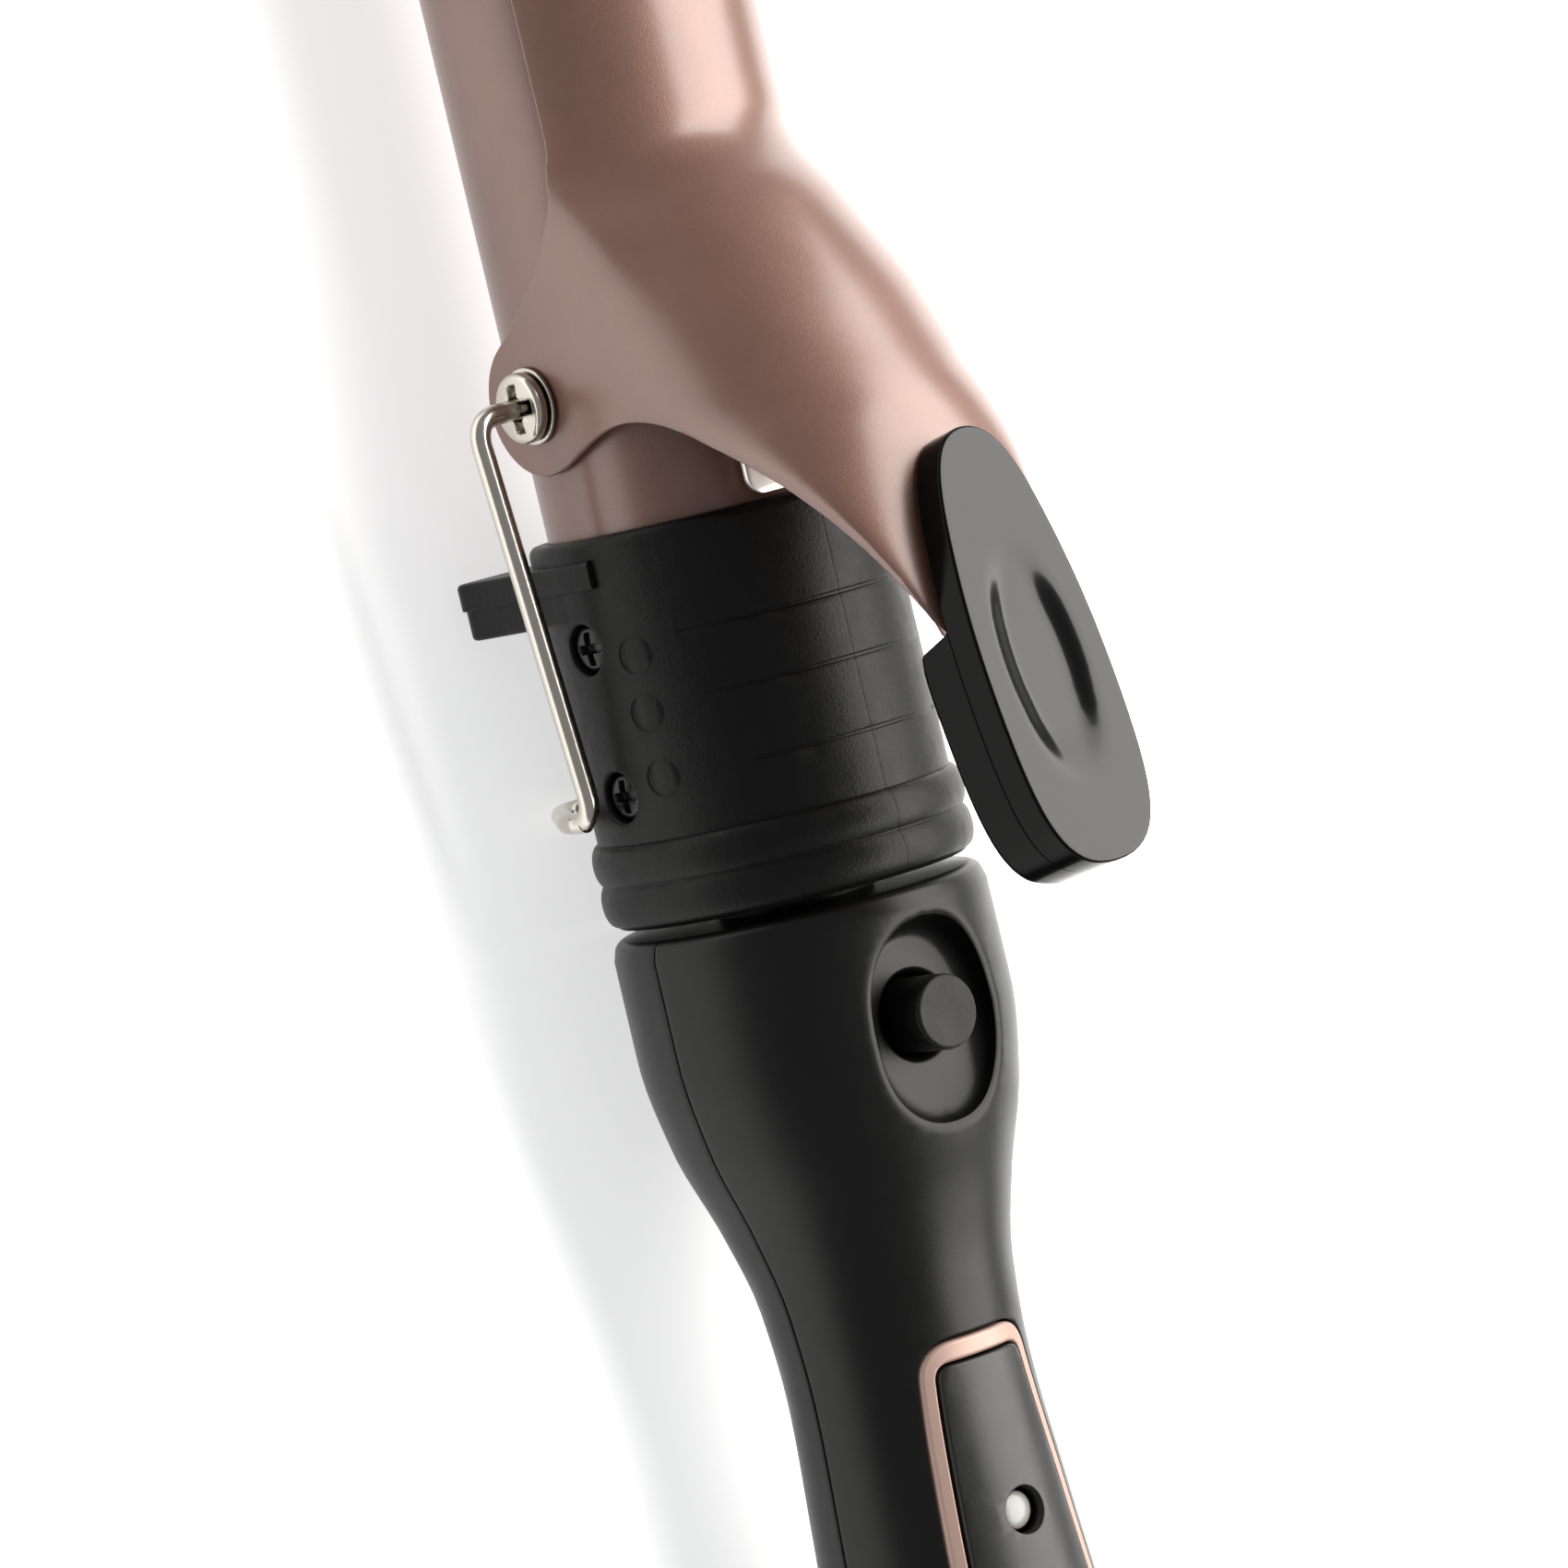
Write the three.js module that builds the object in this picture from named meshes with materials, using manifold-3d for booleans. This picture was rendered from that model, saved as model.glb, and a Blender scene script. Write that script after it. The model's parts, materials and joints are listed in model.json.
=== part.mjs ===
// Curling iron with a spring clamp. The barrel, clamp, collar and wire rest pull off the handle.
//
// Units are millimetres. The iron lies along X with its tip at +X, the thumb lever is up (+Z),
// and Y runs through the two pivot screws. A "station" s is a distance behind the clamp's pivot,
// so s grows towards the handle and x = -s. Heights z are measured from the barrel's axis.

import * as THREE from 'three';
import { mergeVertices } from 'three/addons/utils/BufferGeometryUtils.js';
import Module from 'manifold-3d';

const wasm = await Module();
wasm.setup();

// ---- Driving dimensions ----

const GAP = 0.3; // clearance between pieces that touch
const ROUND = 32; // facets round a large turned piece
const SMALL_ROUND = 12; // facets round a small one

const TIP_S = -150; // front end of the cool tip
const TIP_JOINT_S = -131; // where the tip meets the barrel tube
const BARREL_RADIUS = 16;
const BARREL_WALL = 1;
const BARREL_END_S = 21;

const PIVOT_Z = -1;
const PIVOT_HOLE_RADIUS = 2.3;
const PIVOT_SHANK_RADIUS = 2;
const WIRE_RADIUS = 1.05;

const SHEET = 0.8; // thickness of the clamp's sheet metal
const SPOON_FRONT_S = -122;
const SPOON_EDGE_Z = 8;
const CREASE_S = -23.5; // where the spoon turns up into the arm
const ARM_TAPER_S = 3; // where the arm begins to narrow
const ARM_ROUND_S = 5; // last station where the arm's top is a half circle
const ARM_END_S = 29.5; // where the arm goes into the lever
const ARM_END_HALF_WIDTH = 7.3;
const ARM_END_RISE = 0.8; // how little the arm's top is arched where it ends
const TONGUE_END_S = 50;
const TONGUE_HALF_WIDTH = 5.2;
const EAR_RADIUS = 7.2;

const LEVER_FRONT_S = 11;
const LEVER_FRONT_Z = 42.25;
const LEVER_LENGTH = 44.4;
const LEVER_HALF_WIDTH = 7.75;
const LEVER_SLOPE = THREE.MathUtils.degToRad(10.5);
const PAD_THICKNESS = 3.8;
const LEVER_SCREWS = [36, 45];

const COLLAR_FRONT_S = 14;
const COLLAR_BACK_S = 53.4;
const COLLAR_RADIUS = 18.2;
const FOOT_BOTTOM_Z = -20;
const FOOT_TOP_Z = 3.4;
const FOOT_CORNER = 2.1;

const HANDLE_FRONT_S = 54.6;
const HANDLE_WALL = 2.2;
// Distance behind the handle's front face, and radius there.
const HANDLE_OUTLINE = [
  [0, 18.6], [2, 19.3], [12.5, 19.35], [22, 18.05], [31.6, 15.05], [40, 13.15],
  [49, 12.6], [63.5, 13.3], [90, 15.1], [120, 16.2], [150, 15.2], [165, 12.4],
];
const HANDLE_BACK_S = HANDLE_FRONT_S + HANDLE_OUTLINE.at(-1)[0];

const RELEASE_S = 67.6;
const RELEASE_RADIUS = 3.8;
const RELEASE_TOP_Z = 19.7;
const RELEASE_TRAVEL = 2;
const RECESS_S = 68.7;
const RECESS_HALF_LENGTH = 10.85;
const RECESS_HALF_WIDTH = 7.7;
const RECESS_FLOOR_Z = 14.7;
const RECESS_WALL = 2;

const PANEL_FRONT_S = 100.2;
const PANEL_BACK_S = 184;
const TRIM_WIDTH = 2.1;
const INDICATOR_S = 118.7;
const KEY_TRAVEL = 0.5;
const KEYS = [
  { name: 'power', s: 136, halfLength: 4.3, halfWidth: 4.3 },
  { name: 'temp_up', s: 152, halfLength: 3.2, halfWidth: 4.6 },
  { name: 'temp_down', s: 163, halfLength: 3.2, halfWidth: 4.6 },
];

const SPIGOT_RADIUS = 8;
const SPIGOT_END_S = 82;
const CONTACT_Y = 3.5;
const CONTACT_RADIUS = 1.2;

const REST_WIDE_Y = 24.6; // where the wire rest leaves the pivot screws
const REST_NARROW_Y = 20.8;
const REST_FOOT_Y = 10.5;
const REST_REACH_S = 41.5;
const REST_KNEE_Z = -6.5;
const REST_BOTTOM_Z = -21.5;

const GLAND_END_S = 228;
const CORD_HOLE_RADIUS = 3.4;

const AXIS_HEIGHT = WIRE_RADIUS - REST_BOTTOM_Z; // the rest's crossbar lies on the ground
const MIDDLE_X = (GLAND_END_S + TIP_S) / 2; // puts the middle of the length at x = 0

// ---- Shape tools ----

// A closed three.js geometry as a solid that can be joined and cut.
function solid(geometry) {
  const bare = geometry.clone();
  for (const name of Object.keys(bare.attributes)) {
    if (name !== 'position') bare.deleteAttribute(name);
  }
  const merged = mergeVertices(bare, 1e-4);
  const index = merged.index.array;
  const corners = [];
  for (let i = 0; i < index.length; i += 3) {
    const [a, b, c] = index.slice(i, i + 3);
    if (a !== b && b !== c && c !== a) corners.push(a, b, c);
  }
  return new wasm.Manifold(new wasm.Mesh({
    numProp: 3,
    vertProperties: new Float32Array(merged.attributes.position.array),
    triVerts: new Uint32Array(corners),
  }));
}

function geometryOf(shape) {
  const mesh = shape.getMesh();
  const geometry = new THREE.BufferGeometry();
  geometry.setAttribute('position', new THREE.BufferAttribute(mesh.vertProperties, 3));
  geometry.setIndex(new THREE.BufferAttribute(mesh.triVerts, 1));
  geometry.computeVertexNormals();
  return geometry;
}

function join(first, ...others) {
  return others.reduce((sum, other) => sum.add(other), first);
}

function cut(first, ...others) {
  return others.reduce((rest, other) => rest.subtract(other), first);
}

// Turned about the X axis. The profile is a list of [station, radius] that closes on itself or
// on the axis, running first along the outside from low to high stations.
function turned(profile, facets = ROUND) {
  const points = profile.map(([s, r]) => new THREE.Vector2(r, s));
  return solid(new THREE.LatheGeometry(points, facets).rotateZ(Math.PI / 2));
}

function pipe(fromS, toS, outer, inner, facets = ROUND) {
  return turned(
    [[fromS, inner], [fromS, outer], [toS, outer], [toS, inner], [fromS, inner]],
    facets,
  );
}

// A round bar along X, centred on (y, z).
function barX(fromS, toS, radius, y = 0, z = 0, facets = SMALL_ROUND) {
  const bar = new THREE.CylinderGeometry(radius, radius, toS - fromS, facets).rotateZ(Math.PI / 2);
  return solid(bar.translate(-(fromS + toS) / 2, y, z));
}

// A round bar along Y, centred on (station, z).
function barY(fromY, toY, radius, s = 0, z = 0, facets = SMALL_ROUND) {
  const bar = new THREE.CylinderGeometry(radius, radius, toY - fromY, facets);
  return solid(bar.translate(-s, (fromY + toY) / 2, z));
}

// A round bar along Z, centred on (station, y).
function barZ(fromZ, toZ, radius, s = 0, y = 0, facets = SMALL_ROUND) {
  const bar = new THREE.CylinderGeometry(radius, radius, toZ - fromZ, facets).rotateX(Math.PI / 2);
  return solid(bar.translate(-s, y, (fromZ + toZ) / 2));
}

function block(fromS, toS, fromY, toY, fromZ, toZ) {
  const box = new THREE.BoxGeometry(toS - fromS, toY - fromY, toZ - fromZ);
  return solid(box.translate(-(fromS + toS) / 2, (fromY + toY) / 2, (fromZ + toZ) / 2));
}

// Outline drawn as (station, z), made solid across the width.
function sideSolid(outline, halfWidth) {
  const options = { depth: 2 * halfWidth, bevelEnabled: false, curveSegments: 4 };
  const turn = new THREE.Matrix4().makeBasis(
    new THREE.Vector3(-1, 0, 0), new THREE.Vector3(0, 0, 1), new THREE.Vector3(0, 1, 0),
  );
  const raw = new THREE.ExtrudeGeometry(outline, options).applyMatrix4(turn);
  return solid(raw.translate(0, -halfWidth, 0));
}

// Outline drawn as (station, y), the same on both sides of y = 0, made solid upwards.
function planSolid(outline, fromZ, toZ, curveSegments = 3) {
  const options = { depth: toZ - fromZ, bevelEnabled: false, curveSegments };
  const raw = new THREE.ExtrudeGeometry(outline, options).rotateZ(Math.PI);
  return solid(raw.translate(0, 0, fromZ));
}

// Outline drawn as (y, z), made solid between two stations.
function endSolid(outline, fromS, toS, curveSegments = 3) {
  const options = { depth: toS - fromS, bevelEnabled: false, curveSegments };
  const turn = new THREE.Matrix4().makeBasis(
    new THREE.Vector3(0, 1, 0), new THREE.Vector3(0, 0, 1), new THREE.Vector3(1, 0, 0),
  );
  const raw = new THREE.ExtrudeGeometry(outline, options).applyMatrix4(turn);
  return solid(raw.translate(-toS, 0, 0));
}

function roundedRectangle(fromX, toX, fromY, toY, radius) {
  const shape = new THREE.Shape();
  shape.moveTo(fromX + radius, fromY);
  shape.lineTo(toX - radius, fromY);
  shape.absarc(toX - radius, fromY + radius, radius, -Math.PI / 2, 0);
  shape.lineTo(toX, toY - radius);
  shape.absarc(toX - radius, toY - radius, radius, 0, Math.PI / 2);
  shape.lineTo(fromX + radius, toY);
  shape.absarc(fromX + radius, toY - radius, radius, Math.PI / 2, Math.PI);
  shape.lineTo(fromX, fromY + radius);
  shape.absarc(fromX + radius, fromY + radius, radius, Math.PI, 1.5 * Math.PI);
  return shape;
}

function ellipse(centreX, halfX, halfY) {
  const shape = new THREE.Shape();
  shape.absellipse(centreX, 0, halfX, halfY, 0, 2 * Math.PI);
  return shape;
}

// A function through the given [x, value] points that never overshoots between them.
function smoothThrough(points) {
  const n = points.length;
  const slopes = [];
  for (let i = 0; i < n - 1; i++) {
    slopes.push((points[i + 1][1] - points[i][1]) / (points[i + 1][0] - points[i][0]));
  }
  const tangents = points.map((_, i) => {
    if (i === 0) return slopes[0];
    if (i === n - 1) return slopes[n - 2];
    const [before, after] = [slopes[i - 1], slopes[i]];
    return before * after <= 0 ? 0 : (2 * before * after) / (before + after);
  });
  return (x) => {
    let i = 0;
    while (i < n - 2 && x > points[i + 1][0]) i++;
    const width = points[i + 1][0] - points[i][0];
    const t = (x - points[i][0]) / width;
    const t2 = t * t;
    const t3 = t2 * t;
    return (2 * t3 - 3 * t2 + 1) * points[i][1] + (t3 - 2 * t2 + t) * width * tangents[i]
      + (3 * t2 - 2 * t3) * points[i + 1][1] + (t3 - t2) * width * tangents[i + 1];
  };
}

// A curve that passes from waypoint to waypoint, with one ring of a swept tube at each.
class Waypoints extends THREE.Curve {
  constructor(points) {
    super();
    this.points = points;
  }

  getPoint(t, target = new THREE.Vector3()) {
    const place = Math.min(Math.max(t, 0), 1) * (this.points.length - 1);
    const i = Math.min(Math.floor(place), this.points.length - 2);
    return target.copy(this.points[i]).lerp(this.points[i + 1], place - i);
  }

  getPointAt(t, target) {
    return this.getPoint(t, target);
  }

  getTangentAt(t, target) {
    return this.getTangent(t, target);
  }

  getTangent(t, target = new THREE.Vector3()) {
    const step = 0.5 / (this.points.length - 1);
    return target.copy(this.getPoint(t + step)).sub(this.getPoint(t - step)).normalize();
  }
}

// Waypoints along straight runs between corners, each corner rounded to a given setback.
function roundedRoute(corners, setback, stepsPerBend) {
  const route = [corners[0]];
  for (let i = 1; i < corners.length - 1; i++) {
    const into = corners[i].clone().sub(corners[i - 1]).setLength(setback);
    const out = corners[i + 1].clone().sub(corners[i]).setLength(setback);
    const bend = new THREE.QuadraticBezierCurve3(
      corners[i].clone().sub(into), corners[i], corners[i].clone().add(out),
    );
    route.push(...bend.getPoints(stepsPerBend));
  }
  route.push(corners.at(-1));
  return route;
}

function sweptWire(route, radius, facets = 8) {
  const section = new THREE.Shape();
  section.absarc(0, 0, radius, 0, 2 * Math.PI);
  return solid(new THREE.ExtrudeGeometry(section, {
    steps: route.length - 1,
    curveSegments: facets / 2,
    extrudePath: new Waypoints(route),
  }));
}

// ---- Materials ----

const finishes = {
  roseGold: { color: 0x9c7f72, roughness: 0.32, metalness: 0.95 },
  roseTrim: { color: 0xc9a898, roughness: 0.3, metalness: 0.9 },
  collarBlack: { color: 0x1c1b1a, roughness: 0.62, metalness: 0 },
  gripBlack: { color: 0x222120, roughness: 0.5, metalness: 0 },
  panelBlack: { color: 0x2b2a28, roughness: 0.35, metalness: 0 },
  leverBlack: { color: 0x111111, roughness: 0.12, metalness: 0 },
  nickel: { color: 0xb8b4ac, roughness: 0.2, metalness: 1 },
  springSteel: { color: 0x8d8b86, roughness: 0.25, metalness: 1 },
  aluminium: { color: 0xa8abad, roughness: 0.45, metalness: 1 },
  ceramic: { color: 0xe8e3d8, roughness: 0.7, metalness: 0 },
  brass: { color: 0xb08d4a, roughness: 0.35, metalness: 1 },
  lens: { color: 0xd9d6cf, roughness: 0.35, metalness: 0 },
  board: { color: 0x1f5a34, roughness: 0.5, metalness: 0 },
};

function piece(name, finish, shape) {
  const mesh = new THREE.Mesh(geometryOf(shape), new THREE.MeshStandardMaterial(finishes[finish]));
  mesh.name = name;
  return mesh;
}

function groupOf(...children) {
  const group = new THREE.Group();
  group.add(...children);
  return group;
}

// ---- Barrel ----

function barrelTube() {
  const tube = pipe(TIP_JOINT_S, BARREL_END_S, BARREL_RADIUS, BARREL_RADIUS - BARREL_WALL);
  return cut(tube, barY(-20, 20, PIVOT_HOLE_RADIUS, 0, PIVOT_Z));
}

function coolTip() {
  const plugRadius = BARREL_RADIUS - BARREL_WALL - GAP;
  const shoulderS = TIP_JOINT_S - GAP;
  const nose = [[TIP_S, 0], [TIP_S, 9]];
  const noseRadius = 7;
  for (const degrees of [30, 60, 90]) {
    const turn = THREE.MathUtils.degToRad(degrees);
    nose.push([TIP_S + noseRadius * (1 - Math.cos(turn)), 9 + noseRadius * Math.sin(turn)]);
  }
  return turned([
    ...nose, [TIP_S + 13, 16.6], [shoulderS, 16.2], [shoulderS, plugRadius],
    [shoulderS + 9, plugRadius], [shoulderS + 9, 0],
  ]);
}

const HEATER_SPAN = [-100, -22];

// A half-round aluminium shoe that presses one face of the ceramic heater to the barrel.
function heaterShoe(side) {
  const radius = BARREL_RADIUS - BARREL_WALL - GAP;
  const wall = 3;
  const face = 1.5;
  const outline = new THREE.Shape();
  const reach = Math.asin(face / radius);
  outline.absarc(0, 0, radius, reach, Math.PI - reach);
  const hollow = new THREE.Path();
  const innerReach = Math.asin((face + wall) / (radius - wall));
  hollow.absarc(0, 0, radius - wall, innerReach, Math.PI - innerReach);
  outline.holes.push(hollow);
  const upper = endSolid(outline, ...HEATER_SPAN, 6);
  return side > 0 ? upper : upper.rotate([180, 0, 0]);
}

function ceramicHeater() {
  return block(HEATER_SPAN[0] + 4, HEATER_SPAN[1] - 4, -7, 7, -1.2, 1.2);
}

function thermalFuse() {
  return barX(-60, -49, 2, 0, 7.5, 12);
}

function heaterLead(side) {
  const leadRadius = 0.7;
  const route = roundedRoute([
    new THREE.Vector3(-(SPIGOT_END_S - 17), side * CONTACT_Y, 0),
    new THREE.Vector3(-45, side * CONTACT_Y, 0),
    new THREE.Vector3(-38, side * CONTACT_Y, 6),
    new THREE.Vector3(-12, side * CONTACT_Y, 6),
    new THREE.Vector3(14, side * CONTACT_Y, 0),
    new THREE.Vector3(-HEATER_SPAN[1] + 4 - GAP, side * CONTACT_Y, 0),
  ], 3, 3);
  return sweptWire(route, leadRadius, 6);
}

// ---- Clamp ----

const armRidge = smoothThrough([
  [CREASE_S, 17.1], [-20.5, 18.9], [-15.6, 23.3], [-7.6, 28.7], [0, 33],
  [7.8, 36.9], [12.8, 38.35], [20, 39.7], [ARM_END_S, 41.5],
]);

// The clamp's cross-section at a station: half width, ridge height and rise of the rounded top.
function armSection(s) {
  const full = BARREL_RADIUS + GAP + SHEET;
  if (s <= CREASE_S) return { halfWidth: full, ridge: full, rise: full };
  const taper = Math.max(0, s - ARM_TAPER_S) / (ARM_END_S - ARM_TAPER_S);
  const halfWidth = THREE.MathUtils.lerp(full, ARM_END_HALF_WIDTH, taper);
  const flatten = Math.max(0, s - ARM_ROUND_S) / (ARM_END_S - ARM_ROUND_S);
  const rise = ARM_END_RISE + (halfWidth - ARM_END_RISE) * (1 - flatten) ** 2;
  return { halfWidth, ridge: armRidge(s), rise };
}

// One closed ring of the channel, outside then inside, at a station.
function channelRing(s) {
  const { halfWidth, ridge, rise } = armSection(s);
  // Down at the ears the sheet keeps its full width; above them the arm is already narrower.
  const hasEar = s < EAR_RADIUS + 0.8;
  const skirtZ = hasEar ? -10 : ridge - rise - 4;
  const skirtTopZ = hasEar ? Math.min(SPOON_EDGE_Z, ridge - rise - 0.5) : skirtZ + 1;
  const skirtHalfWidth = hasEar ? BARREL_RADIUS + GAP + SHEET : halfWidth;
  const arcSteps = 10;
  const ring = [];
  for (const [inset, way] of [[0, 1], [SHEET, -1]]) {
    const skirtY = skirtHalfWidth - inset;
    const line = [[-skirtY, skirtZ], [-skirtY, skirtTopZ]];
    for (let i = 0; i <= arcSteps; i++) {
      const angle = Math.PI * (i / arcSteps - 0.5);
      const y = (halfWidth - inset) * Math.sin(angle);
      line.push([y, ridge - rise + (rise - inset) * Math.cos(angle)]);
    }
    line.push([skirtY, skirtTopZ], [skirtY, skirtZ]);
    ring.push(...(way > 0 ? line : line.reverse()));
  }
  return ring.map(([y, z]) => new THREE.Vector3(-s, y, z));
}

// Skin through rings of equal length, closed by a flat strip across each end.
function loftedChannel(stations) {
  const rings = stations.map(channelRing);
  const count = rings[0].length;
  const index = [];
  for (let r = 0; r < rings.length - 1; r++) {
    for (let i = 0; i < count; i++) {
      const a = r * count + i;
      const b = r * count + ((i + 1) % count);
      index.push(a, b, a + count, b, b + count, a + count);
    }
  }
  const last = (rings.length - 1) * count;
  for (let i = 0; i < count / 2 - 1; i++) {
    const j = count - 1 - i;
    index.push(i, j, i + 1, i + 1, j, j - 1);
    index.push(last + i, last + i + 1, last + j, last + i + 1, last + j - 1, last + j);
  }
  const geometry = new THREE.BufferGeometry();
  geometry.setFromPoints(rings.flat());
  geometry.setIndex(index);
  return solid(geometry);
}

// What the flat blank keeps, seen from the side: spoon edge, front of the ear, notch and arm.
function clampSideOutline() {
  const curve = (points) => points.map((point) => new THREE.Vector2(...point));
  const earStart = Math.PI + 0.5;
  const outline = new THREE.Shape();
  outline.moveTo(SPOON_FRONT_S - 1, SPOON_EDGE_Z);
  outline.lineTo(CREASE_S + 3.5, SPOON_EDGE_Z);
  outline.splineThru(curve([[-15.6, 6.6], [-11.7, 2.6], [-8.3, -2]]));
  outline.lineTo(EAR_RADIUS * Math.cos(earStart), PIVOT_Z + EAR_RADIUS * Math.sin(earStart));
  outline.absarc(0, PIVOT_Z, EAR_RADIUS, earStart, 2 * Math.PI + 0.25);
  outline.splineThru(curve([[5.4, 5.2], [3.9, 9.6], [3.8, 14.4], [7, 22]]));
  outline.lineTo(13, 30.2);
  outline.lineTo(20.8, 36.7);
  outline.lineTo(ARM_END_S, 40.9);
  outline.lineTo(ARM_END_S + 1, 60);
  outline.lineTo(SPOON_FRONT_S - 1, 60);
  return outline;
}

function clampPlate() {
  const stations = [
    SPOON_FRONT_S, CREASE_S, -22, -20, -17, -13, -8, -3, ARM_TAPER_S, ARM_ROUND_S, 7.5, 9.5,
    12.5, 16, 20, 25, ARM_END_S,
  ];
  const channel = loftedChannel(stations);
  const blank = sideSolid(clampSideOutline(), 20);
  const rounding = 9;
  const fromAbove = planSolid(
    roundedRectangle(SPOON_FRONT_S, ARM_END_S + rounding, -20, 20, rounding + 3), -12, 60,
  );
  const tongueTop = armRidge(ARM_END_S) - 0.15;
  const tongueStart = ARM_END_S - 1.5;
  const rise = (TONGUE_END_S - ARM_END_S) * Math.tan(LEVER_SLOPE);
  const tongueOutline = new THREE.Shape();
  tongueOutline.moveTo(tongueStart, tongueTop - SHEET);
  tongueOutline.lineTo(ARM_END_S, tongueTop - SHEET);
  tongueOutline.lineTo(TONGUE_END_S, tongueTop - SHEET + rise);
  tongueOutline.lineTo(TONGUE_END_S, tongueTop + rise);
  tongueOutline.lineTo(ARM_END_S, tongueTop);
  tongueOutline.lineTo(tongueStart, tongueTop);
  const tongue = sideSolid(tongueOutline, TONGUE_HALF_WIDTH);
  const trimmed = channel.intersect(blank).intersect(fromAbove);
  const ears = [-1, 1].map((side) => {
    const middle = side * (BARREL_RADIUS + GAP + SHEET / 2);
    return barY(middle - SHEET / 2, middle + SHEET / 2, EAR_RADIUS, 0, PIVOT_Z, 24);
  });
  const lean = 5 * Math.sin(LEVER_SLOPE) / 2; // the screws lean with the lever
  const holes = LEVER_SCREWS.map((s) => barZ(40, 52, 1.7, s + lean, 0, 12));
  const whole = join(trimmed, tongue, ...ears);
  return cut(whole, barY(-20, 20, PIVOT_HOLE_RADIUS, 0, PIVOT_Z), ...holes);
}

// The lever's pieces are drawn in the lever's own frame: stations start at the pad's front end
// and z = 0 is the pad's upper face.
function leverOutline(inset) {
  const length = LEVER_LENGTH - inset;
  const half = LEVER_HALF_WIDTH - inset;
  const outline = new THREE.Shape();
  outline.moveTo(inset, 0);
  outline.bezierCurveTo(inset, -3.4, 3.5, -5.1 + inset, 9.5, -6.2 + inset);
  outline.bezierCurveTo(15, -7.2 + inset, 20, -half, 27, -half);
  outline.bezierCurveTo(39, -half, length, -6.6 + inset, length, 0);
  outline.bezierCurveTo(length, 6.6 - inset, 39, half, 27, half);
  outline.bezierCurveTo(20, half, 15, 7.2 - inset, 9.5, 6.2 - inset);
  outline.bezierCurveTo(3.5, 5.1 - inset, inset, 3.4, inset, 0);
  return outline;
}

function leverPad() {
  const body = planSolid(leverOutline(0), -PAD_THICKNESS, 0, 4);
  const dishDepth = 1;
  const dish = new THREE.SphereGeometry(1, 16, 10).rotateX(Math.PI / 2);
  dish.scale(14, 5.2, 2 * dishDepth).translate(-25, 0, dishDepth * 0.9);
  const pilots = LEVER_SCREWS.map((s) => leverHole(s, 1.5, -PAD_THICKNESS - 1, -1.9));
  return cut(body, solid(dish), ...pilots);
}

function leverHole(s, radius, fromZ, toZ) {
  return barZ(fromZ, toZ, radius, s - LEVER_FRONT_S, 0, 12);
}

const LEVER_BASE_TOP = -PAD_THICKNESS - GAP;

function leverBase() {
  const side = new THREE.Shape();
  side.moveTo(18.6, LEVER_BASE_TOP);
  side.quadraticCurveTo(18.9, -8.2, 20.4, -10);
  side.lineTo(LEVER_LENGTH - 5, -9.2);
  side.quadraticCurveTo(LEVER_LENGTH + 0.5, -8.6, LEVER_LENGTH, LEVER_BASE_TOP);
  const body = sideSolid(side, 10).intersect(planSolid(leverOutline(0.3), -12, 0, 4));
  const slotEnd = TONGUE_END_S - LEVER_FRONT_S + 0.8;
  const slot = block(10, slotEnd, -TONGUE_HALF_WIDTH - GAP, TONGUE_HALF_WIDTH + GAP, -5.6, 0);
  const mouth = block(10, 19.4, -ARM_END_HALF_WIDTH - 1, ARM_END_HALF_WIDTH + 1, -6.4, 0);
  const holes = LEVER_SCREWS.flatMap((s) => [
    leverHole(s, 1.5, -12, 0),
    leverHole(s, 2.6, -12, -8),
  ]);
  return cut(body, slot, mouth, ...holes);
}

function leverScrew(s) {
  const head = leverHole(s, 2.2, -9, -7.7 - GAP);
  const shank = leverHole(s, 1.2, -8.1, -2.2);
  return join(head, shank);
}

// Leaf spring: a lower leg on the barrel's top, a bend, and an upper leg under the arm.
function clampSpring() {
  const half = 0.35;
  const legZ = BARREL_RADIUS + GAP + half;
  const bendS = -11.5;
  const bend = 2.3;
  const rise = THREE.MathUtils.degToRad(33);
  const upperLength = 16.5;
  const turnEnd = Math.PI / 2 + rise;
  const outline = new THREE.Shape();
  outline.moveTo(12.8, legZ - half);
  outline.lineTo(12.8, legZ + half);
  outline.lineTo(bendS, legZ + half);
  outline.absarc(bendS, legZ + bend, bend - half, -Math.PI / 2, turnEnd - 2 * Math.PI, true);
  for (const [radius, along] of [[bend - half, upperLength], [bend + half, upperLength]]) {
    outline.lineTo(
      bendS + radius * Math.cos(turnEnd) + along * Math.cos(rise),
      legZ + bend + radius * Math.sin(turnEnd) + along * Math.sin(rise),
    );
  }
  outline.absarc(bendS, legZ + bend, bend + half, turnEnd, 1.5 * Math.PI);
  const strip = sideSolid(outline, 7);
  return strip.intersect(planSolid(roundedRectangle(-20, 12.8, -7, 7, 2.5), 10, 40));
}

// ---- Pivot screws ----

const WASHER_Y = BARREL_RADIUS + GAP + SHEET + 0.25;
const SCREW_HEAD_Y = WASHER_Y + 0.65;
const SCREW_FACE_Y = 19.4;

function crossRecess(radius, width, depth, topZ) {
  const long = new THREE.BoxGeometry(2 * radius, width, depth).translate(0, 0, topZ - depth / 2);
  const short = new THREE.BoxGeometry(width, 2 * radius, depth).translate(0, 0, topZ - depth / 2);
  return solid(long).add(solid(short));
}

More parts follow.
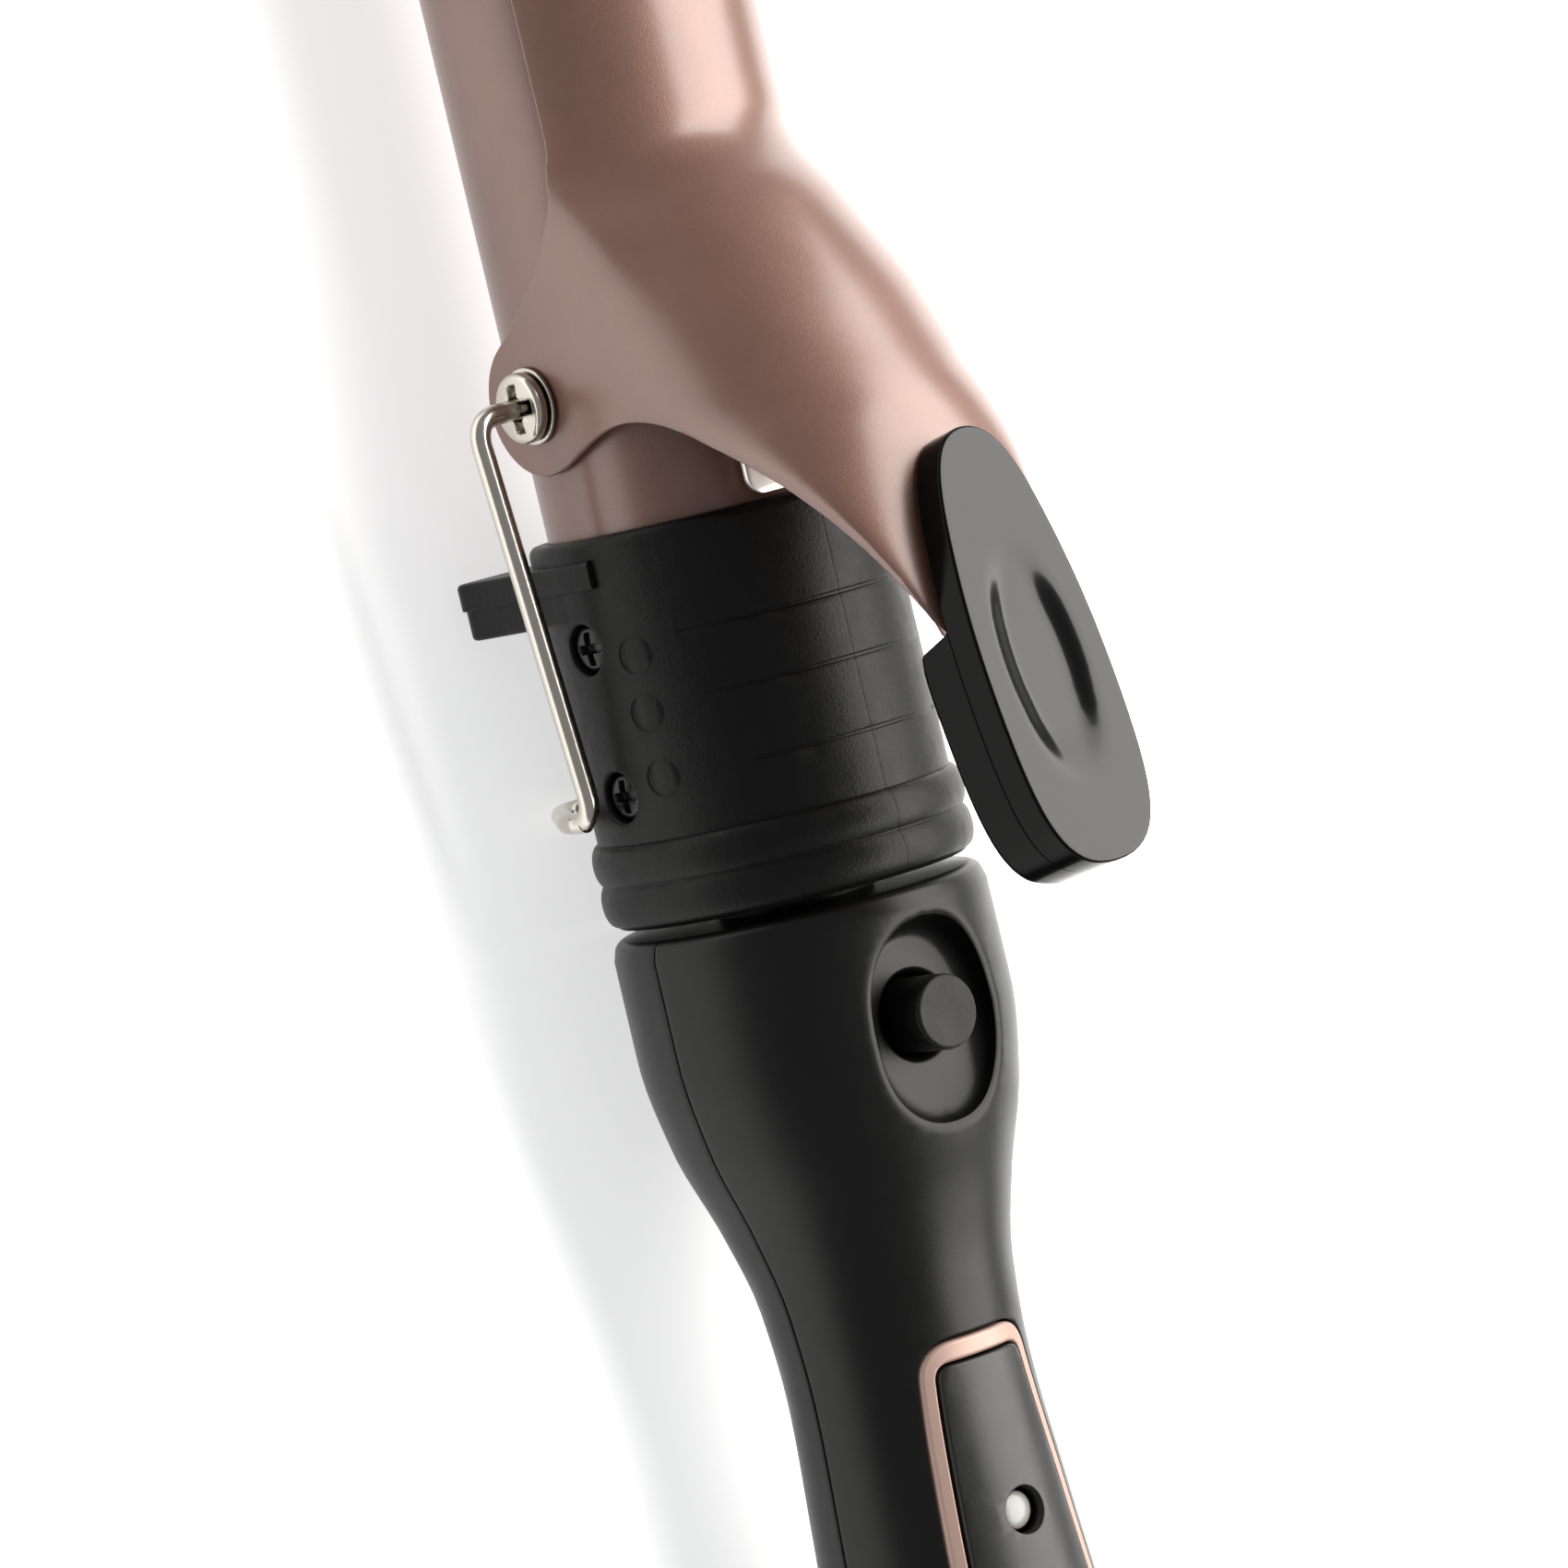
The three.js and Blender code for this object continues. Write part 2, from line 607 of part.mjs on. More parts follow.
// A pan-head screw along +Z, its head's underside at z = 0.
function panHead(headRadius, headHeight, shankRadius, shankLength, boreRadius = 0) {
  const profile = [
    [0, -shankLength], [shankRadius, -shankLength], [shankRadius, 0], [headRadius, 0],
    [headRadius, headHeight * 0.55], [headRadius * 0.8, headHeight], [0, headHeight],
  ];
  const points = profile.map(([r, z]) => new THREE.Vector2(r, z));
  const body = solid(new THREE.LatheGeometry(points, SMALL_ROUND).rotateX(Math.PI / 2));
  const depth = headHeight * 0.5;
  const cross = crossRecess(headRadius * 0.56, headRadius * 0.26, depth, headHeight + 0.1);
  if (boreRadius === 0) return cut(body, cross);
  const bore = new THREE.CylinderGeometry(boreRadius, boreRadius, 40, 12).rotateX(Math.PI / 2);
  return cut(body, cross, solid(bore));
}

// Turns a screw drawn along +Z so that its head faces +Y or -Y, and moves it to its place.
function facingSide(shape, side, s, y, z) {
  return shape.rotate([-side * 90, 0, 0]).translate([-s, side * y, z]);
}

function pivotScrew(side) {
  const screw = panHead(3.55, SCREW_FACE_Y - SCREW_HEAD_Y, PIVOT_SHANK_RADIUS, 7.2, 1.4);
  return facingSide(screw, side, 0, SCREW_HEAD_Y, PIVOT_Z);
}

function pivotWasher(side) {
  const [near, far] = [side * WASHER_Y, side * (WASHER_Y + 0.4)].sort((a, b) => a - b);
  const disc = barY(near, far, 3.9, 0, PIVOT_Z);
  return cut(disc, barY(-20, 20, PIVOT_HOLE_RADIUS, 0, PIVOT_Z));
}

function pivotNut(side) {
  const [near, far] = [side * 11.2, side * 13.6].sort((a, b) => a - b);
  const nut = block(-4, 4, near, far, PIVOT_Z - 4, PIVOT_Z + 4);
  return cut(nut, barY(-20, 20, PIVOT_HOLE_RADIUS, 0, PIVOT_Z));
}

// ---- Wire rest ----

function wireRest() {
  const corner = (s, y, z) => new THREE.Vector3(-s, y, z);
  const half = [
    corner(0, 10.6, PIVOT_Z),
    corner(0, REST_WIDE_Y, PIVOT_Z),
    corner(REST_REACH_S, REST_NARROW_Y, PIVOT_Z - 1),
    corner(REST_REACH_S, REST_NARROW_Y, REST_KNEE_Z),
    corner(REST_REACH_S, REST_FOOT_Y, REST_BOTTOM_Z),
  ];
  const mirrored = half.map((p) => new THREE.Vector3(p.x, -p.y, p.z)).reverse();
  return sweptWire(roundedRoute([...half, ...mirrored], 3, 3), WIRE_RADIUS);
}

// ---- Collar ----

const COLLAR_SCREWS = [24.8, 39.9];
const COLLAR_SCREW_Z = -0.7;
const RINGS = [46.9, 50.9];

function collarProfile() {
  const ringReach = 1.8;
  const ringRise = 1;
  const profile = [
    [COLLAR_FRONT_S, 0], [COLLAR_FRONT_S, COLLAR_RADIUS - 0.9],
    [COLLAR_FRONT_S + 1.1, COLLAR_RADIUS],
  ];
  for (const ring of RINGS) {
    for (const degrees of [0, 50, 130, 180]) {
      const turn = THREE.MathUtils.degToRad(degrees);
      const s = ring - ringReach * Math.cos(turn);
      profile.push([s, COLLAR_RADIUS + ringRise * Math.sin(turn)]);
    }
  }
  profile.push([COLLAR_BACK_S, COLLAR_RADIUS - 0.3], [COLLAR_BACK_S, 0]);
  return profile;
}

// The foot flange is D-shaped, flat below, and a little proud of the collar's sides.
function footFlange() {
  const band = (halfWidth, bottomZ, fromS, toS) => {
    const outline = new THREE.Shape();
    const corner = FOOT_CORNER;
    outline.moveTo(-halfWidth, FOOT_TOP_Z);
    outline.lineTo(-halfWidth, bottomZ + corner);
    outline.absarc(corner - halfWidth, bottomZ + corner, corner, Math.PI, 1.5 * Math.PI);
    outline.lineTo(halfWidth - corner, bottomZ);
    outline.absarc(halfWidth - corner, bottomZ + corner, corner, -Math.PI / 2, 0);
    outline.lineTo(halfWidth, FOOT_TOP_Z);
    return endSolid(outline, fromS, toS);
  };
  const upper = band(COLLAR_RADIUS + 0.4, FOOT_BOTTOM_Z, 16.1, 18.9);
  return upper.add(band(COLLAR_RADIUS - 0.1, FOOT_BOTTOM_Z + 0.5, 18.8, 22));
}

function collarInside() {
  const seat = BARREL_RADIUS + GAP;
  return turned([
    [COLLAR_FRONT_S - 1, 0], [COLLAR_FRONT_S - 1, seat], [BARREL_END_S + GAP, seat],
    [BARREL_END_S + GAP, 15.2], [COLLAR_BACK_S - 3, 15.2],
    [COLLAR_BACK_S - 3, SPIGOT_RADIUS + GAP], [COLLAR_BACK_S + 1, SPIGOT_RADIUS + GAP],
    [COLLAR_BACK_S + 1, 0],
  ]);
}

function collarShell(side) {
  const bossRadius = 3.1;
  const outside = turned(collarProfile()).add(footFlange());
  const hollow = cut(outside, collarInside());
  const bosses = COLLAR_SCREWS.map((s) => barY(-17, 17, bossRadius, s, COLLAR_SCREW_Z, 12));
  const whole = join(hollow, ...bosses);
  const near = 0.15;
  const half = side > 0
    ? block(0, 60, near, 30, -30, 30)
    : block(0, 60, -30, -near, -30, 30);
  const holes = COLLAR_SCREWS.flatMap((s) => [
    barY(-12.5, 25, 1.8, s, COLLAR_SCREW_Z, 12),
    barY(15.4, 25, 2.8, s, COLLAR_SCREW_Z),
  ]);
  return cut(whole.intersect(half), ...holes);
}

function collarScrew(s) {
  return facingSide(panHead(2.4, 1.6, 1.5, 24), 1, s, 15.7, COLLAR_SCREW_Z);
}

// ---- Plug between barrel and handle ----

function plugHousing() {
  const body = turned([
    [47.7, 6.3], [47.7, 11], [COLLAR_BACK_S - 3 - GAP, 11], [COLLAR_BACK_S - 3 - GAP, SPIGOT_RADIUS],
    [SPIGOT_END_S - 1, SPIGOT_RADIUS], [SPIGOT_END_S, SPIGOT_RADIUS - 1], [SPIGOT_END_S, 0],
    [SPIGOT_END_S - 6, 0], [SPIGOT_END_S - 6, 6.3], [47.7, 6.3],
  ], 24);
  const holes = [-1, 1].map((side) => (
    barX(70, 90, CONTACT_RADIUS + 0.4, side * CONTACT_Y, 0, 12)
  ));
  return cut(body, ...holes);
}

function plugContact(side) {
  const sleeve = barX(66, SPIGOT_END_S - 6 - GAP, 2.1, side * CONTACT_Y, 0, 12);
  const bore = barX(67, SPIGOT_END_S, CONTACT_RADIUS + GAP, side * CONTACT_Y, 0, 12);
  return cut(sleeve, bore);
}

function socketBlock() {
  const frontS = 72.2;
  const backS = 90;
  const outer = 11;
  const bore = SPIGOT_RADIUS + GAP;
  const cup = turned([
    [frontS, bore], [frontS, outer], [backS, outer], [backS, 0], [SPIGOT_END_S + GAP, 0],
    [SPIGOT_END_S + GAP, bore], [frontS, bore],
  ], 24);
  const holes = [-1, 1].map((side) => (
    barX(80, 95, CONTACT_RADIUS + 0.2, side * CONTACT_Y, 0, 12)
  ));
  return cut(cup, ...holes);
}

function socketPin(side) {
  return barX(72.5, 92, CONTACT_RADIUS, side * CONTACT_Y, 0, 12);
}

// ---- Handle ----

const outlineRadius = smoothThrough(HANDLE_OUTLINE);

function handleRadius(s) {
  return outlineRadius(s - HANDLE_FRONT_S);
}

// Solid of revolution that follows the handle's surface, moved out by an offset.
function handleBody(offset, fromS, toS, steps) {
  const profile = [[fromS, 0]];
  for (let i = 0; i <= steps; i++) {
    const s = THREE.MathUtils.lerp(fromS, toS, i / steps);
    profile.push([s, handleRadius(s) + offset]);
  }
  profile.push([toS, 0]);
  return turned(profile);
}

function innerRib(fromS, toS, radius) {
  const wall = handleRadius((fromS + toS) / 2) - HANDLE_WALL / 2;
  return pipe(fromS, toS, wall, radius);
}

const HANDLE_SCREWS = [96.5, 196];

function screwBosses() {
  return HANDLE_SCREWS.map((s) => {
    const reach = handleRadius(s) - HANDLE_WALL / 2;
    return barZ(-reach, reach, 3.4, s, 0, 12);
  });
}

function wholeHandle() {
  const outside = handleBody(0, HANDLE_FRONT_S, HANDLE_BACK_S, 16);
  const inside = handleBody(-HANDLE_WALL, HANDLE_FRONT_S + 2.4, HANDLE_BACK_S - HANDLE_WALL, 8);
  const mouth = barX(HANDLE_FRONT_S - 1, HANDLE_FRONT_S + 4, SPIGOT_RADIUS + 0.4, 0, 0, 24);
  const outlet = barX(HANDLE_BACK_S - 4, HANDLE_BACK_S + 1, 6.4, 0, 0, 24);
  const ribs = [innerRib(73, 75, 11.3), innerRib(210.2, 212.2, 7.2)];
  return join(cut(outside, inside, mouth, outlet), ...ribs, ...screwBosses());
}

function panelOutline(inset) {
  const corner = 3.6 - inset;
  const front = PANEL_FRONT_S + inset;
  const back = PANEL_BACK_S - inset;
  const frontHalf = 7.5 - inset;
  const backHalf = 8.6 - inset;
  const bulge = 12.3 - inset;
  const outline = new THREE.Shape();
  outline.moveTo(front, -frontHalf + corner);
  outline.quadraticCurveTo(front, -frontHalf, front + corner, -frontHalf - 0.2);
  outline.quadraticCurveTo(150, -bulge, back - corner, -backHalf);
  outline.quadraticCurveTo(back, -backHalf, back, -backHalf + corner);
  outline.lineTo(back, backHalf - corner);
  outline.quadraticCurveTo(back, backHalf, back - corner, backHalf);
  outline.quadraticCurveTo(150, bulge, front + corner, frontHalf + 0.2);
  outline.quadraticCurveTo(front, frontHalf, front, frontHalf - corner);
  return outline;
}

// The handle's skin between two offsets, inside an outline seen from above.
function skinPatch(outline, outer, inner) {
  const fromS = PANEL_FRONT_S - 5;
  const toS = PANEL_BACK_S + 5;
  const skin = cut(handleBody(outer, fromS, toS, 9), handleBody(inner, fromS - 1, toS + 1, 9));
  return skin.intersect(planSolid(outline, 2, 30, 3));
}

function handleFrontShell() {
  const upperHalf = block(HANDLE_FRONT_S - 5, HANDLE_BACK_S + 5, -30, 30, 0.1, 30);
  const basin = planSolid(
    ellipse(RECESS_S, RECESS_HALF_LENGTH + RECESS_WALL, RECESS_HALF_WIDTH + RECESS_WALL),
    RECESS_FLOOR_Z - RECESS_WALL, 30, 10,
  );
  const outside = handleBody(0, HANDLE_FRONT_S, HANDLE_FRONT_S + 40, 6);
  const recess = planSolid(
    ellipse(RECESS_S, RECESS_HALF_LENGTH, RECESS_HALF_WIDTH), RECESS_FLOOR_Z, 30, 10,
  );
  const buttonHole = barZ(0, 30, RELEASE_RADIUS + 0.5, RELEASE_S);
  const pilots = HANDLE_SCREWS.map((s) => barZ(-1, 7, 1.8, s, 0, 12));
  const opening = planSolid(panelOutline(-0.25), 2, 30, 3);
  const half = wholeHandle().intersect(upperHalf);
  return cut(join(half, basin.intersect(outside)), recess, buttonHole, opening, ...pilots);
}

function handleRearShell() {
  const lowerHalf = block(HANDLE_FRONT_S - 5, HANDLE_BACK_S + 5, -30, 30, -30, -0.1);
  const holes = HANDLE_SCREWS.flatMap((s) => [
    barZ(-30, 1, 1.8, s, 0, 12),
    barZ(-30, headSeatZ(s), 3, s, 0, 12),
  ]);
  return cut(wholeHandle().intersect(lowerHalf), ...holes);
}

// Height of the step that a handle screw's head sits on.
function headSeatZ(s) {
  return -handleRadius(s) + 3.4;
}

function handleScrew(s) {
  const underHead = headSeatZ(s) - GAP;
  const screw = panHead(2.5, 1.7, 1.5, 6.5 - underHead);
  return screw.rotate([180, 0, 0]).translate([-s, 0, underHead]);
}

function panelTrim() {
  const outline = panelOutline(0);
  outline.holes.push(new THREE.Path(panelOutline(TRIM_WIDTH).getPoints(3)));
  return skinPatch(outline, 0.15, -1.8);
}

function keyOutline(key, margin) {
  const [halfLength, halfWidth] = [key.halfLength + margin, key.halfWidth + margin];
  const radius = Math.min(halfLength, halfWidth) - 0.01;
  return roundedRectangle(
    key.s - halfLength, key.s + halfLength, -halfWidth, halfWidth, radius,
  );
}

const INSERT_DEPTH = 1.6;

function panelInsert() {
  const skin = skinPatch(panelOutline(TRIM_WIDTH + 0.25), 0.3, -INSERT_DEPTH);
  const indicatorHole = barZ(0, 30, 2.45, INDICATOR_S);
  const keyHoles = KEYS.map((key) => planSolid(keyOutline(key, GAP), 0, 30, 2));
  return cut(skin, indicatorHole, ...keyHoles);
}

// Top of the flange that keeps a key behind the panel.
function keyFlangeZ(key) {
  const inside = handleRadius(key.s) - INSERT_DEPTH;
  return Math.sqrt(inside ** 2 - (key.halfWidth + 0.8) ** 2) - 0.4;
}

function keyButton(key) {
  const flangeTop = keyFlangeZ(key);
  const skin = handleBody(0.8, key.s - 12, key.s + 12, 4);
  const cap = planSolid(keyOutline(key, 0), flangeTop - 0.4, 30, 2).intersect(skin);
  return cap.add(planSolid(keyOutline(key, 0.7), flangeTop - 0.8, flangeTop, 2));
}

const BOARD_Z = 5;
const BOARD_THICKNESS = 1.6;
const BOARD_TOP = BOARD_Z + BOARD_THICKNESS + GAP;

function circuitBoard() {
  return block(104, 180, -7.2, 7.2, BOARD_Z, BOARD_Z + BOARD_THICKNESS);
}

function keySwitch(key) {
  const caseTop = BOARD_TOP + 2.6;
  const plungerTop = keyFlangeZ(key) - 0.8 - KEY_TRAVEL - 0.15;
  const body = block(key.s - 3, key.s + 3, -3, 3, BOARD_TOP, caseTop);
  return body.add(barZ(caseTop - 0.5, plungerTop, 1.5, key.s, 0, 12));
}

function indicatorLed() {
  return barZ(BOARD_TOP, BOARD_TOP + 2.4, 1.5, INDICATOR_S, 0, 12);
}

function indicatorLens() {
  const top = handleRadius(INDICATOR_S) - 0.9;
  const stem = barZ(BOARD_TOP + 2.4 + GAP, top, 2.1, INDICATOR_S);
  return stem;
}

// ---- Release latch ----

function releaseButton() {
  return barZ(RECESS_FLOOR_Z - RECESS_WALL, RELEASE_TOP_Z, RELEASE_RADIUS, RELEASE_S, 0, 16);
}

const YOKE_BOTTOM_Z = -11.3;

function latchYoke() {
  const top = RECESS_FLOOR_Z - RECESS_WALL - GAP;
  const frame = roundedRectangle(-11.5, 11.5, YOKE_BOTTOM_Z, top, 3.5);
  const clearance = 0.4;
  const reach = SPIGOT_RADIUS + clearance;
  const window = roundedRectangle(-reach, reach, -reach, reach + RELEASE_TRAVEL, 4);
  frame.holes.push(window);
  return endSolid(frame, RELEASE_S - 2, RELEASE_S + 2, 2);
}

function releaseSpring() {
  const wire = 0.35;
  const coil = 2.3;
  const turns = 4;
  const steps = 32;
  const lowZ = -15.9;
  const highZ = YOKE_BOTTOM_Z - GAP - wire;
  const route = [];
  for (let i = 0; i <= steps; i++) {
    const turn = (2 * Math.PI * turns * i) / steps;
    const z = THREE.MathUtils.lerp(lowZ, highZ, i / steps);
    route.push(new THREE.Vector3(
      -RELEASE_S + coil * Math.cos(turn), coil * Math.sin(turn), z,
    ));
  }
  return sweptWire(route, wire, 6);
}

// ---- Cord outlet ----

function cordGland() {
  const flangeS = HANDLE_BACK_S - HANDLE_WALL - GAP;
  return turned([
    [212.7, CORD_HOLE_RADIUS], [212.7, 9], [flangeS, 9], [flangeS, 6],
    [HANDLE_BACK_S + 0.5, 6], [HANDLE_BACK_S + 0.5, 7.8], [GLAND_END_S - 4, 7.2],
    [GLAND_END_S - 1, 6.2], [GLAND_END_S, 5.2], [GLAND_END_S, CORD_HOLE_RADIUS],
    [212.7, CORD_HOLE_RADIUS],
  ], 24);
}

// ---- Assembly ----

const SIDES = [['left', 1], ['right', -1]];

function onBothSides(base, finish, make) {
  return SIDES.map(([word, side]) => piece(`${base}_${word}`, finish, make(side)));
}

function handleGroup() {
  return groupOf(
    piece('handle_front_shell', 'gripBlack', handleFrontShell()),
    piece('handle_rear_shell', 'gripBlack', handleRearShell()),
    piece('handle_screw_front', 'nickel', handleScrew(HANDLE_SCREWS[0])),
    piece('handle_screw_rear', 'nickel', handleScrew(HANDLE_SCREWS[1])),
    piece('panel_trim', 'roseTrim', panelTrim()),
    piece('panel_insert', 'panelBlack', panelInsert()),
    piece('indicator_lens', 'lens', indicatorLens()),
    piece('indicator_led', 'lens', indicatorLed()),
    piece('circuit_board', 'board', circuitBoard()),
    ...KEYS.map((key) => piece(`${key.name}_switch`, 'collarBlack', keySwitch(key))),
    ...KEYS.map((key) => piece(`${key.name}_button`, 'leverBlack', keyButton(key))),
    piece('socket_block', 'collarBlack', socketBlock()),
    ...onBothSides('socket_pin', 'brass', socketPin),
    piece('release_button', 'collarBlack', releaseButton()),
    piece('latch_yoke', 'panelBlack', latchYoke()),
    piece('release_spring', 'springSteel', releaseSpring()),
    piece('cord_gland', 'collarBlack', cordGland()),
  );
}

function attachmentGroup() {
  return groupOf(
    piece('barrel_tube', 'roseGold', barrelTube()),
    piece('cool_tip', 'collarBlack', coolTip()),
    piece('heater_shoe_upper', 'aluminium', heaterShoe(1)),
    piece('heater_shoe_lower', 'aluminium', heaterShoe(-1)),
    piece('ceramic_heater', 'ceramic', ceramicHeater()),
    piece('thermal_fuse', 'nickel', thermalFuse()),
    ...onBothSides('heater_lead', 'ceramic', heaterLead),
    ...onBothSides('pivot_screw', 'nickel', pivotScrew),
    ...onBothSides('pivot_washer', 'nickel', pivotWasher),
    ...onBothSides('pivot_nut', 'nickel', pivotNut),
    ...onBothSides('collar_shell', 'collarBlack', collarShell),
    piece('collar_screw_front', 'nickel', collarScrew(COLLAR_SCREWS[0])),
    piece('collar_screw_rear', 'nickel', collarScrew(COLLAR_SCREWS[1])),
    piece('plug_housing', 'collarBlack', plugHousing()),
    ...onBothSides('plug_contact', 'brass', plugContact),
  );
}

function leverGroup() {
  const lever = groupOf(
    piece('lever_pad', 'leverBlack', leverPad()),
    piece('lever_base', 'leverBlack', leverBase()),
    piece('lever_screw_front', 'nickel', leverScrew(LEVER_SCREWS[0])),
    piece('lever_screw_rear', 'nickel', leverScrew(LEVER_SCREWS[1])),
  );
  lever.position.set(-LEVER_FRONT_S, 0, LEVER_FRONT_Z);
  lever.rotation.y = LEVER_SLOPE;
  return lever;
}

function clampGroup() {
  return groupOf(
    piece('clamp_plate', 'roseGold', clampPlate()),
    piece('clamp_spring', 'springSteel', clampSpring()),
    leverGroup(),
  );
}

const curlingIron = groupOf(
  handleGroup(),
  attachmentGroup(),
  clampGroup(),
  piece('wire_rest', 'nickel', wireRest()),
);
curlingIron.name = 'curling_iron';
curlingIron.position.set(MIDDLE_X, 0, AXIS_HEIGHT);

export default curlingIron;
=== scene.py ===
import json
import math

import bmesh
import bpy
import numpy as np
from mathutils import Matrix, Vector
from mathutils.geometry import delaunay_2d_cdt


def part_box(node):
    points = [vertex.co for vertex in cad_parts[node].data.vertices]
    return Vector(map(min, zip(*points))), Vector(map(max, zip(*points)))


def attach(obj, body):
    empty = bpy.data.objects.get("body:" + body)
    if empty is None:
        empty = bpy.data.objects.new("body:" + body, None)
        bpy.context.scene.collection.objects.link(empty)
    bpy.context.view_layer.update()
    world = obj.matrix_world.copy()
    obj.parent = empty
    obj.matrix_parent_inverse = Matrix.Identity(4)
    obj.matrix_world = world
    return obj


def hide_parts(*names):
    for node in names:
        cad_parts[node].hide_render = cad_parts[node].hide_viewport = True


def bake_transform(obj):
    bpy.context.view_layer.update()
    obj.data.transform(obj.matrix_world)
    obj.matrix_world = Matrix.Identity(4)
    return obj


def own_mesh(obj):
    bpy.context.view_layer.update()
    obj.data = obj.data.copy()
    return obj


# A curling iron with a spring clamp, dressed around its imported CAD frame.
#
# Shapes are drawn in millimetres: a station s runs from the clamp's pivot towards the handle, y
# through the pivot screws, and z up from the barrel's axis. at() turns them into metres.

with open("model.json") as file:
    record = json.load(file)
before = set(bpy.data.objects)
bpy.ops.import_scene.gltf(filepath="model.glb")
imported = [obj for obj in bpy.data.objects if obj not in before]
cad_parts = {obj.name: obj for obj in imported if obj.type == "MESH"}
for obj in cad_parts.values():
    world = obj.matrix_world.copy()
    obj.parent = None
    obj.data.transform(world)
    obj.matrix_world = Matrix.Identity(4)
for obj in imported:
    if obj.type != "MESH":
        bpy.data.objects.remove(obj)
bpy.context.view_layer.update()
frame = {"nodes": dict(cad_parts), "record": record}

# ---- Places and sizes that come from the frame ----

MM = 0.001


def middle(node):
    low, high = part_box(node)
    return (low + high) / 2


PIVOT_X = middle("pivot_washer_left").x
AXIS_Z = middle("barrel_tube").z


def at(s, y, z):
    return Vector((PIVOT_X - s * MM, y * MM, AXIS_Z + z * MM))


def station(node):
    return (PIVOT_X - middle(node).x) / MM


def stations(node):
    low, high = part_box(node)
    return (PIVOT_X - high.x) / MM, (PIVOT_X - low.x) / MM


def heights(node):
    low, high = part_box(node)
    return (low.z - AXIS_Z) / MM, (high.z - AXIS_Z) / MM


PIVOT_Z = (middle("pivot_washer_left").z - AXIS_Z) / MM
BARREL_FRONT, BARREL_BACK = stations("barrel_tube")
BARREL_RADIUS = heights("barrel_tube")[1]
TIP_FRONT, TIP_BACK = stations("cool_tip")
SPOON_FRONT, TONGUE_END = stations("clamp_plate")
COLLAR_FRONT, COLLAR_BACK = stations("collar_shell_left")
FOOT_BOTTOM = heights("collar_shell_left")[0]
HANDLE_FRONT, HANDLE_BACK = stations("handle_front_shell")
PANEL_FRONT, PANEL_BACK = stations("panel_trim")
GLAND_FRONT, GLAND_BACK = stations("cord_gland")
SPIGOT_FRONT, SPIGOT_END = stations("plug_housing")
REST_BOTTOM = heights("wire_rest")[0]
RELEASE_S = station("release_button")
RELEASE_TOP = heights("release_button")[1]
INDICATOR_S = station("indicator_lens")

# ---- Driving dimensions, in millimetres ----

SHARP_ANGLE = 38
GAP = 0.3
TUBE_WALL = 1
LEAF_HALF = 0.35
SHEET = 0.8
SPOON_EDGE_Z = 8
CREASE_S = -23.5
CREASE_LEAN = 6.5
ARM_TAPER_S = 3
ARM_ROUND_S = 5
ARM_END_S = 29.5
ARM_END_HALF_WIDTH = 7.3
ARM_END_RISE = 0.8
TONGUE_HALF_WIDTH = 5.2
EAR_RADIUS = 7.2
ARM_RIDGE = [
    (CREASE_S, 17.1), (-20.5, 18.9), (-15.6, 23.3), (-7.6, 28.7), (0, 33),
    (7.8, 36.9), (12.8, 38.35), (20, 39.7), (ARM_END_S, 41.5),
]
COLLAR_RADIUS = 18.2
RINGS = [46.9, 50.9]
COLLAR_SCREWS = [24.8, 39.9]
COLLAR_SCREW_Z = -0.7
# Each fine groove's station, and where it ends in degrees from the collar's top.
GROOVES = [(24.7, 54), (31.2, 49), (38.6, 41)]
GROOVE_HALF = 0.3
MOULDING_MARKS = [(26.2, 6.0), (32.0, 5.8), (38.6, 5.9)]
RIM_LENGTH = 1.1
RIM_DROP = 0.9
RING_REACH = 2.2
SEAM = 0.02
FOOT_TOP_Z = 3.4
FOOT_CORNER = 2.1
SPIGOT_RADIUS = 8
CONTACT_Y = 3.5
LEVER_FRONT = 11
LEVER_TOP = 42.25
LEVER_LENGTH = 44.4
LEVER_HALF_WIDTH = 7.75
LEVER_SLOPE = math.radians(10.5)
PAD_THICKNESS = 3.8
HANDLE_WALL = 2.2
FRONT_WALL = 1.2
PARTING = 0.1
# Distance behind the handle's front face, and radius there.
HANDLE_OUTLINE = [
    (0, 18.6), (2, 19.3), (12.5, 19.35), (22, 18.05), (31.6, 15.05), (40, 13.15),
    (49, 12.6), (63.5, 13.3), (90, 15.1), (120, 16.2), (150, 15.2), (165, 12.4),
]
RECESS_S = 68.2
RECESS_HALF_LENGTH = 10.3
RECESS_HALF_WIDTH = 7.6
RECESS_FLOOR_Z = 14.7
HANDLE_SCREWS = [96.5, 196]
LEVER_SCREWS = [25, 34]
TRIM_WIDTH = 2.1
TRIM_NARROW = 0.75
WIRE_RADIUS = 1.05
REST_WIDE_Y = 24.57
REST_NARROW_Y = 20.8
REST_FOOT_Y = 10.5
REST_REACH_S = 41.5
REST_KNEE_Z = -6.5
KEYS = ("power", "temp_up", "temp_down")

# ---- Outlines and curves ----


def full_turn(count):
    return [2 * math.pi * i / count for i in range(count)]


def quarter(first=0, step=15):
    """Sine and cosine at steps through a right angle, from a first angle in degrees."""
    return [(math.sin(t), math.cos(t)) for t in map(math.radians, range(first, 91, step))]


def arc(centre, radius, start, end, steps):
    """Points on a circle, from one angle to another in degrees."""
    turns = [math.radians(start + (end - start) * i / steps) for i in range(steps + 1)]
    return [(centre[0] + radius * math.cos(t), centre[1] + radius * math.sin(t)) for t in turns]


def circle(centre, radius, count):
    return arc(centre, radius, 0, 360 - 360 / count, count - 1)


def at_height(outline, z):
    return [(s, y, z) for s, y in outline]


